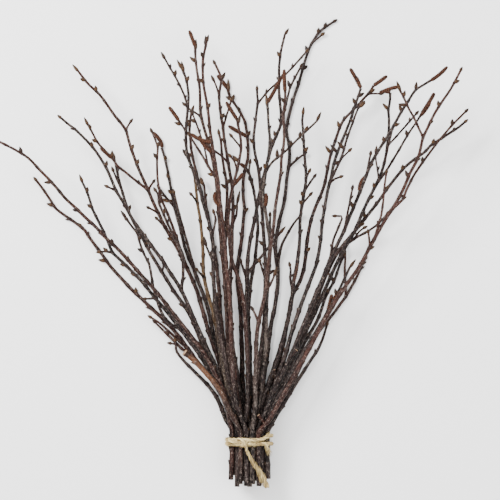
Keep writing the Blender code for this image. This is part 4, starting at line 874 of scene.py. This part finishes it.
             "268,112 267,104", "buds": "266,95 264,165",
         "catkins": ["267,103 273,94 282,77", "264,206 267,204 266,193"], "branches": [
            {"fork": True, "route": "265,172 272,162 280,156 287,150 294,143 303,134 312,126 317,121",
             "tipBud": "321,112", "buds": "277,150 291,141 300,134 306,130"},
            {"route": "271,245 269,235 267,222 270,216"},
        ]},
        {"name": "twig_28", "butt": 481,
         "stem": "271,400 278,384 286,367 293,351 299,336 305,321 311,306 316,293 322,280 327,267 332,255 "
             "338,243 344,231 349,218 354,206 359,194 363,184 367,173 371,163 376,154 383,143 390,132 "
             "396,121 402,110 407,103 411,96 415,90 422,86 430,81",
         "buds": "416,83 399,105 399,124 383,138 351,202",
         "catkins": ["430,81 438,77 447,67", "352,189 358,181 368,175"], "branches": [
            {"route": "366,176 370,165 370,155"},
            {"route": "344,231 346,222 349,205 352,189"},
            {"route": "330,261 333,240 343,216 336,216"},
        ]},
        {"name": "twig_35", "butt": 483,
         "stem": "275,404 284,388 293,372 301,357 309,343 317,330 324,318 330,307 336,296 341,286 346,275 "
             "350,267", "tipBud": "356,259", "buds": "335,289",
         "catkins": ["333,300 336,294 343,288", "330,312 330,303 332,294"]},
        {"name": "twig_33", "butt": 479,
         "stem": "269,428 277,414 286,400 295,385 304,371 311,360 318,350 322,341 325,332 327,325"},
    ],
    [
        {"name": "twig_02", "butt": 484, "bark": "orange",
         "stem": "227,405 221,391 213,381 204,371 195,361 184,352", "broken": True},
        {"name": "twig_14", "butt": 486,
         "stem": "236,402 233,380 232,360 231,340 231,322 230,305 229,290 227,275 226,260 225,245 223,230 "
             "222,216 220,203 219,190 218,180 216,168 214,155 212,143 210,130 209,118 207,103 204,88 "
             "203,75 203,61 205,52 207,43", "tipBud": "209,36", "buds": "202,55 201,81 210,105 206,38",
         "catkins": ["206,155 203,147 199,136", "204,144 198,141 191,134", "212,208 212,200 216,192"],
         "branches": [
            {"fork": True, "route": "218,182 213,174 208,166 203,157 198,149 194,143 190,136",
             "buds": "208,174"},
            {"route": "208,166 206,155 204,146 198,128 193,115", "buds": "193,121"},
        ]},
        {"name": "twig_23", "butt": 484, "bark": "grey",
         "stem": "256,402 255,384 256,365 256,348 257,331 260,315 264,299 267,282 268,265 270,251 272,237 "
             "274,222 275,208 277,196 279,184 281,172 281,160 283,150 284,139 284,128 283,118 284,108 "
             "285,100 285,93", "buds": "283,101 274,270", "catkins": ["285,93 284,83 284,70"], "branches": [
            {"route": "266,292 271,283 274,276", "tipBud": "277,266"},
            {"route": "258,322 255,314 253,310"},
        ]},
        {"name": "twig_31", "butt": 486, "bark": "red",
         "stem": "268,422 276,408 285,392 294,376 303,360 312,343 320,328 328,314 335,302 342,291 349,281 "
             "357,270 363,260 368,250 373,241 378,232 383,223 388,215 393,207 398,199 402,191 406,182 "
             "409,174 414,165 418,157 420,148 422,138 427,128 431,119 436,110 442,101 449,91 455,80 459,72",
         "buds": "457,82 437,102 405,171 373,247 366,262", "branches": [
            {"fork": True, "route": "422,138 417,127 413,118 408,110 404,101 400,93 397,88",
             "buds": "404,92 396,83 398,105", "catkins": ["397,88 390,89 381,93"]},
            {"fork": True,
             "route": "391,211 397,206 403,199 405,192 409,184 413,176 419,167 424,160 430,152 435,145 "
                 "440,139 446,132 451,126 458,119 465,112", "buds": "452,120 422,159"},
            {"route": "374,240 377,228 381,215 383,200 384,186 386,173"},
            {"route": "370,247 369,240 368,233"},
        ]},
    ],
]

# Half widths, steps and lengths of the stems and of the shoots on them.
stemLook = {
    "butt": 2.55 * mm,
    "tip": 1.3 * mm,
    "stub": 2.7 * mm,
    "taper": 0.9,
    "straight": 40 * mm,
    "step": 4.5 * mm,
    "closest": 0.5 * mm,
    "softness": 5 * mm,
    "thick": 2 * mm,
}
shootLook = {
    "fork": 0.85,
    "shoot": 0.72,
    "tip": 1.15 * mm,
    "collar": 1.4,
    "collarReach": 2.2 * mm,
    "clear": 3 * mm,
}
jointLook = {
    "swell": 0.26,
    "reach": 1.6 * mm,
    "first": (8 * mm, 20 * mm),
    "gap": (13 * mm, 28 * mm),
    "clear": 9 * mm,
    "end": 6 * mm,
}
# how the bark turns from its dark foot to its own colour, and how young it looks
turnLook = {
    "dark": 90 * mm,
    "redOver": 70 * mm,
    "pale": {"orange": 80 * mm, "tan": 150 * mm},
    "paleOver": 35 * mm,
    "young": 1.6 * mm,
    "youngOver": 1.2 * mm,
    "stem": {"red": 0.25},
    "shoot": 0.35,
}
# twigs whose bark is redder than that of the others
redder = {
    "twig_14": 1.0,
    "twig_31": 0.9,
    "twig_18": 0.8,
    "twig_13": 0.9,
    "twig_16": 0.8,
    "twig_23": 0.8,
    "twig_12": 0.7,
}
# how far from a drawn point the solid's middle is looked for
search = {
    "back": 0.9 * mm,
    "asides": (0.0, 0.6 * mm, -0.6 * mm, 1.2 * mm, -1.2 * mm),
    "slack": 1.5 * mm,
    "slope": 0.8,
    "bud": 4 * mm,
    "catkin": 6 * mm,
}


def solidTree(name):
    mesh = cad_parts[name].data
    corners = [vert.co for vert in mesh.vertices]
    return BVHTree.FromPolygons(corners, [tuple(face.vertices) for face in mesh.polygons])


def middlesAt(tree, place):
    # the heights of the middles of the solid's parts under a place
    levels = []
    start = Vector((place.x, place.y, 0.2))
    while True:
        hit = tree.ray_cast(start, Vector((0, 0, -1)))[0]
        if hit is None:
            break
        levels.append(hit.z)
        start = hit - Vector((0, 0, 0.01 * mm))
    return [(upper + lower) / 2 for upper, lower in zip(levels[::2], levels[1::2])]


def levelUnder(tree, place, level, reach):
    # the middle that is nearest to a level, or none if all are out of reach
    near = [z for z in middlesAt(tree, place) if abs(z - level) < reach]
    return min(near, key=lambda z: abs(z - level), default=None)


def raised(points, tree, level):
    # the drawn points, each put at the height of the solid under it
    along, runs, heights = [0.0], [0.0], [level]
    for index in range(1, len(points)):
        ahead = points[index] - points[index - 1]
        along.append(along[-1] + ahead.length)
        aside = Vector((-ahead.y, ahead.x, 0)).normalized()
        back = ahead.normalized() * (search["back"] if index == len(points) - 1 else 0.0)
        reach = search["slack"] + search["slope"] * (along[-1] - runs[-1])
        for offset in search["asides"]:
            found = levelUnder(tree, points[index] + aside * offset - back, heights[-1], reach)
            if found is not None:
                heights.append(found)
                runs.append(along[-1])
                break
    places = np.interp(along, runs, heights)
    return [Vector((point.x, point.y, z)) for point, z in zip(points, places)]


class Shoot:
    def __init__(self, points, startWidth, endWidth, redness, isStem=False):
        straight = stemLook["straight"] if isStem else 0.0
        taper = stemLook["taper"] if isStem else 1.0
        self.line, self.fine = smoothLine(points, stemLook["softness"])
        self.length = self.fine[-1]
        share = np.clip((self.fine - straight) / (self.length - straight), 0, 1)
        self.width = endWidth + (startWidth - endWidth) * (1 - share) ** taper
        self.redness = redness
        self.dark = turnLook["dark"] if isStem else -turnLook["redOver"]
        self.collar = not isStem
        self.ended = False
        self.joints = []
        self.dressed = []

    def nearest(self, point):
        gaps = np.hypot(self.line[:, 0] - point.x, self.line[:, 1] - point.y)
        index = int(np.argmin(gaps))
        return self.fine[index], float(gaps[index])

    def at(self, run):
        return placesAt(self.line, self.fine, [run])[0]

    def widthAt(self, run):
        return float(np.interp(run, self.fine, self.width))

    def addJoints(self):
        # bare joints between those that carry a shoot, bud or catkin
        self.dressed = list(self.joints)
        run = random.uniform(*jointLook["first"])
        while run < self.length - jointLook["end"]:
            if all(abs(run - other) > jointLook["clear"] for other in self.joints):
                self.joints.append(run)
            run += random.uniform(*jointLook["gap"])

    def ringRuns(self):
        # even steps, with three rings at each joint
        reach, closest = jointLook["reach"], stemLook["closest"]
        runs = list(np.arange(0, self.length - 2 * mm, stemLook["step"])) + [self.length]
        for joint in self.joints:
            runs = [run for run in runs if abs(run - joint) > 1.8 * reach or run in (0, self.length)]
            near = (joint - reach, joint, joint + reach)
            runs += [run for run in near if closest < run < self.length - closest]
        runs = sorted(runs)
        kept = [runs[0]]
        for run in runs[1:]:
            if run - kept[-1] > closest:
                kept.append(run)
        kept[-1] = self.length
        return np.array(kept)


def growShoot(shape, marks, shoot, bark, youngness, start, end):
    runs = shoot.ringRuns()
    swell = np.zeros(len(runs))
    for joint in shoot.joints:
        swell = np.maximum(swell, np.exp(-(((runs - joint) / jointLook["reach"]) ** 2)))
    radii = np.interp(runs, shoot.fine, shoot.width) * (1 + jointLook["swell"] * swell)
    if shoot.collar:
        collar = np.exp(-((runs / shootLook["collarReach"]) ** 2))
        radii = radii * (1 + (shootLook["collar"] - 1) * collar)
    youth = youngness + (turnLook["young"] - radii) / turnLook["youngOver"]
    if bark in turnLook["pale"]:
        youth = (runs - turnLook["pale"][bark]) / turnLook["paleOver"]
    warm = shoot.redness * np.clip((runs - shoot.dark) / turnLook["redOver"], 0, 1)
    notes = {"youth": np.clip(youth, 0, 1), "joint": swell, "tint": warm}
    frames = ringFrames(placesAt(shoot.line, shoot.fine, runs), radii)
    sides = 9 if shoot.width[0] > stemLook["thick"] else 7
    phase = runs + random.uniform(0, 3)
    growTube(shape, marks, frames, phase, notes, sides, "bark", start, end)


# A bud is a short tube of overlapping scales, drawn to a point.
budLook = {
    "width": 1.9 * mm,
    "endWidth": 1.7 * mm,
    "shortest": 6.6 * mm,
    "atEnd": 4.8 * mm,
    "sides": 8,
    "shares": (0.0, 0.10, 0.28, 0.40, 0.44, 0.60, 0.65, 0.82, 0.93),
    "widths": (0.50, 0.80, 1.02, 1.04, 0.93, 0.86, 0.74, 0.52, 0.28),
    # the scale edges that carry the painted highlight
    "edges": (0.0, 0.0, 0.4, 1.0, 0.0, 1.0, 0.0, 0.6, 0.3),
    "fromEnds": (1.5 * mm, 4.5 * mm),
    "deepest": 5 * mm,
}


def growBud(shape, marks, foot, tip, width, tint):
    shares = budLook["shares"]
    line = [foot.lerp(tip, share) for share in shares]
    frames = ringFrames(line, [width * share for share in budLook["widths"]])
    notes = {"along": shares, "tint": [tint] * len(shares), "joint": budLook["edges"]}
    runs = [share * 8 * mm for share in shares]
    edges = growTube(shape, marks, frames, runs, notes, budLook["sides"], "bud", end="open")
    pointedEnd(shape, edges, "bud", tip)


# Small resting buds stand on some of the bare joints, pressed to the bark.
spurLook = {
    "share": 0.62,
    "length": (3.0 * mm, 4.8 * mm),
    "width": 1.0 * mm,
    "lean": 0.5,
    "rise": (-0.3, 0.9),
    "tint": (0, 0.6),
    "fromEnds": (8 * mm, 9 * mm),
}


def growSpurs(shape, marks, shoot):
    first, last = spurLook["fromEnds"]
    for joint in shoot.joints:
        drawnHere = any(abs(joint - run) < 1 * mm for run in shoot.dressed)
        if drawnHere or not first < joint < shoot.length - last or random.random() > spurLook["share"]:
            continue
        foot, ahead = shoot.at(joint), shoot.at(joint + 2 * mm)
        along = (ahead - foot).normalized()
        aside = along.cross(Vector((0, 0, 1))).normalized() * random.choice((-1, 1))
        aside = (aside + Vector((0, 0, random.uniform(*spurLook["rise"])))).normalized()
        foot = foot + aside * shoot.widthAt(joint) * 0.7
        tip = foot + (along + aside * spurLook["lean"]).normalized() * random.uniform(*spurLook["length"])
        growBud(shape, marks, foot, tip, spurLook["width"], random.uniform(*spurLook["tint"]))


# A catkin: rings of scales, each pair turned a little against the last.
catkinLook = {
    "width": 2.15 * mm,
    "sides": 9,
    "pitch": 0.95 * mm,
    "swell": (0.86, 1.08),
    # the rings whose edges carry the painted highlight
    "edge": (0.0, 0.85),
    "turn": 0.35,
    "tapersFrom": 0.80,
    "length": 0.97,
}


def growCatkin(shape, marks, points, tint):
    foot, bend, tip = points
    length = (bend - foot).length + (tip - bend).length
    count = max(int(length / catkinLook["pitch"]), 8)
    line, radii, shares = [], [], []
    for index in range(count + 1):
        t = index / count * catkinLook["length"]
        line.append(foot * (1 - t) ** 2 + bend * 2 * t * (1 - t) + tip * t * t)
        body = min(1.0, 0.55 + 4.5 * t) * (1 - max(0.0, t - catkinLook["tapersFrom"]) ** 1.5 * 5.6)
        radii.append(catkinLook["width"] * max(body, 0.3) * catkinLook["swell"][index % 2])
        shares.append(t)
    edging = [catkinLook["edge"][index % 2] for index in range(count + 1)]
    notes = {"along": shares, "tint": [tint] * (count + 1), "joint": edging}
    turned = []
    for index, made in enumerate(ringFrames(line, radii)):
        turned.append(made @ Matrix.Rotation(catkinLook["turn"] * (index % 4), 4, "Z"))
    flat = [0] * (count + 1)
    edges = growTube(shape, marks, turned, flat, notes, catkinLook["sides"], "catkin", end="open")
    pointedEnd(shape, edges, "catkin", tip)


def dressCatkin(shape, marks, shoot, text, tree):
    points = drawn(text)
    run, _ = shoot.nearest(points[0])
    foot = shoot.at(run)
    points = [foot] + [Vector((point.x, point.y, foot.z)) for point in points[1:]]
    level = levelUnder(tree, points[1].lerp(points[2], 0.3), foot.z, search["catkin"])
    if level is not None:
        points[1].z = points[2].z = level
    growCatkin(shape, marks, points, random.uniform(0.15, 0.9))
    shoot.joints.append(run)
    shoot.ended = shoot.ended or run > shoot.length - 3 * mm


def dressBud(shape, marks, shoot, point, warm, tree):
    run, away = shoot.nearest(point)
    back = min(0.9 * away + 1.0 * mm, budLook["deepest"])
    first, last = budLook["fromEnds"]
    run = float(np.clip(run - back, first, shoot.length - last))
    foot = shoot.at(run)
    tip = Vector((point.x, point.y, foot.z))
    level = levelUnder(tree, foot.lerp(tip, 0.8), foot.z, search["bud"])
    if level is not None:
        tip.z = level
    tip += (tip - foot) * 0.12
    lean = (tip - foot).normalized()
    if (tip - foot).length < budLook["shortest"]:
        tip = foot + lean * budLook["shortest"]
    tint = min(max(warm + random.uniform(-0.3, 0.3), 0), 1)
    growBud(shape, marks, foot + lean * 0.4 * shoot.widthAt(run), tip, budLook["width"], tint)
    shoot.joints.append(run)


def dressShoot(shape, marks, shoot, plan, tree):
    # the drawn catkins and buds, and the bud at the end
    warm = random.uniform(0.1, 0.9)
    for text in plan.get("catkins", []):
        dressCatkin(shape, marks, shoot, text, tree)
    for point in drawn(plan.get("buds", "")):
        dressBud(shape, marks, shoot, point, warm, tree)
    if shoot.ended or plan.get("broken"):
        return
    end = shoot.at(shoot.length)
    ahead = (end - shoot.at(shoot.length - 3 * mm)).normalized()
    tip = end + ahead * budLook["atEnd"]
    if "tipBud" in plan:
        tip = drawn(plan["tipBud"])[0]
        tip.z = end.z
    growBud(shape, marks, end - ahead * 0.8 * mm, tip, budLook["endWidth"], warm)


# Short broken snags: route from the stem to the end, and half width.
snags = {
    "twig_27": ("280,384 274.5,370", 1.2 * mm),
    "twig_28": ("290.5,361 296.5,350", 1.9 * mm),
    "twig_31": ("265,424 258.5,415", 1.6 * mm),
}
snagLook = {
    "shares": (0.0, 0.35, 0.7, 0.9, 1.0),
    "widths": (1.25, 0.95, 0.9, 1.2, 1.05),
    "edges": (0, 0, 0, 0.5, 0.8),
    "youth": 0.5,
    "rise": 2 * mm,
}


def growSnag(shape, marks, stem, route, width):
    away, end = drawn(route)
    foot = stem.at(stem.nearest(away)[0])
    tip = Vector((end.x, end.y, foot.z + snagLook["rise"]))
    shares = snagLook["shares"]
    line = [foot.lerp(tip, share) for share in shares]
    radii = [width * grow for grow in snagLook["widths"]]
    runs = [share * (tip - foot).length for share in shares]
    notes = {"youth": [snagLook["youth"]] * len(runs), "joint": snagLook["edges"]}
    growTube(shape, marks, ringFrames(line, radii), runs, notes, 7, "bark", end="cut")


# The swollen, pale rim where the stub is broken off: each skin's rings, back from the end.
rimLook = {
    "rings": (
        ("bark", "closed", ((7.0, 0.96), (5.4, 1.06), (3.6, 1.22), (2.2, 1.30), (1.4, 1.24))),
        ("cut", "cut", ((2.6, 0.96), (1.6, 1.22), (1.0, 1.32), (0.3, 1.16))),
    ),
    "joint": 0.7,
    "youth": 0.25,
}


def growStubEnd(shape, marks, stem):
    for skin, end, rings in rimLook["rings"]:
        runs = [stem.length - back * mm for back, _ in rings]
        radii = [stem.widthAt(run) * width for run, (_, width) in zip(runs, rings)]
        notes = {name: [rimLook[name]] * len(runs) for name in ("joint", "youth")}
        frames = ringFrames(placesAt(stem.line, stem.fine, runs), radii)
        growTube(shape, marks, frames, runs, notes, 9, skin, end=end)


def stemPoints(plan, order, count):
    # from the cut butt through its place under the tie to the drawn route
    across = (order - (count - 1) / 2) * packing["pitch"]
    points = []
    for share, y in (
        (packing["spread"], plan["butt"]),
        (1, packing["tieLow"]),
        (1, packing["tieHigh"]),
    ):
        points.append(onBoard(board["middle"] + across * share, y))
    return points + drawn(plan["stem"])


def endOf(plan):
    return "cut" if plan.get("broken") else "closed"


def makeTwig(plan, order, count):
    name = plan["name"]
    bark = plan.get("bark", "dark")
    broken = plan.get("broken")
    points = stemPoints(plan, order, count)
    tree = solidTree(name)
    inside = points[0] + (points[1] - points[0]).normalized() * 0.5 * mm
    points = raised(points, tree, middlesAt(tree, inside)[0])
    tipWidth = stemLook["stub"] if broken else stemLook["tip"]
    redness = redder.get(name, random.uniform(0, 0.35))
    stem = Shoot(points, stemLook["butt"], tipWidth, redness, isStem=True)
    shape, marks = newShape()
    dressShoot(shape, marks, stem, plan, tree)

    # every branch is laid on the nearest shoot so far, which gets a joint there
    shoots = [stem]
    grown = []
    forks = 0
    for branch in plan.get("branches", []):
        start, *others = drawn(branch["route"])
        host = min(shoots, key=lambda shoot: shoot.nearest(start)[1])
        run, _ = host.nearest(start)
        kind, ownName = "shoot", name
        if branch.get("fork"):
            forks += 1
            kind, ownName = "fork", name + "_fork" + (f"_{forks}" if forks > 1 else "")
        own = solidTree(ownName)
        foot = host.at(run)
        clear = shootLook["clear"]
        points = [point for point in others if host.nearest(point)[1] > clear or point is others[-1]]
        points = raised([foot] + points, own, foot.z)
        width = host.widthAt(run) * shootLook[kind]
        shoot = Shoot(points, width, min(width, shootLook["tip"]), redness)
        host.joints.append(run)
        shoots.append(shoot)
        grown.append((shoot, branch, ownName, own))

    stem.addJoints()
    growSpurs(shape, marks, stem)
    growShoot(shape, marks, stem, bark, turnLook["stem"].get(bark, 0.0), "cut", endOf(plan))
    if broken:
        growStubEnd(shape, marks, stem)
    if name in snags:
        growSnag(shape, marks, stem, *snags[name])
    pieces = [(name, shape)]
    for shoot, branch, ownName, own in grown:
        target, targetMarks = shape, marks
        if branch.get("fork"):
            target, targetMarks = newShape()
            pieces.append((ownName, target))
        dressShoot(target, targetMarks, shoot, branch, own)
        shoot.addJoints()
        growSpurs(target, targetMarks, shoot)
        growShoot(target, targetMarks, shoot, bark, turnLook["shoot"], "closed", endOf(branch))
    finishes = [barks[bark], cutWood, budSkin, catkinSkin]
    for ownName, made in pieces:
        finished(made, "birch_" + ownName, finishes, [ownName], "bark_" + bark)


for row in twigRows:
    for order, plan in enumerate(row):
        makeTwig(plan, order, len(row))
print("twigs grown")

# A pale sheet, three soft lamps and white air.
stage = {
    "size": 4.0,
    "paper": (0.90, 0.90, 0.90),
    "roughness": 0.9,
    "air": 1.15,
    # lamps: place, size and power
    "lamps": {
        "key": ((-1.1, 1.0, 1.5), 0.9, 104.0),
        "fill": ((1.2, -0.4, 1.5), 1.6, 22.0),
        "above": ((0.0, 0.0, 2.4), 2.0, 44.0),
    },
}
shape = bmesh.new()
bmesh.ops.create_grid(shape, x_segments=1, y_segments=1, size=stage["size"])
sheet = bpy.data.meshes.new("paper")
shape.to_mesh(sheet)
shape.free()
paper = Recipe("pale paper")
sheet.materials.append(paper.finish(Base_Color=stage["paper"], Roughness=stage["roughness"]))
floor = bpy.data.objects.new("paper", sheet)
bpy.context.scene.collection.objects.link(floor)

for name, (place, size, power) in stage["lamps"].items():
    lamp = bpy.data.lights.new(name, "AREA")
    lamp.size = size
    lamp.energy = power
    light = bpy.data.objects.new(name, lamp)
    light.location = place
    light.rotation_euler = Vector(place).to_track_quat("Z", "Y").to_euler()
    bpy.context.scene.collection.objects.link(light)
world = bpy.data.worlds.new("studio")
world.use_nodes = True
air = world.node_tree.nodes["Background"].inputs
air["Color"].default_value = (1.0, 1.0, 1.0, 1.0)
air["Strength"].default_value = stage["air"]
bpy.context.scene.world = world
print("stage lit")
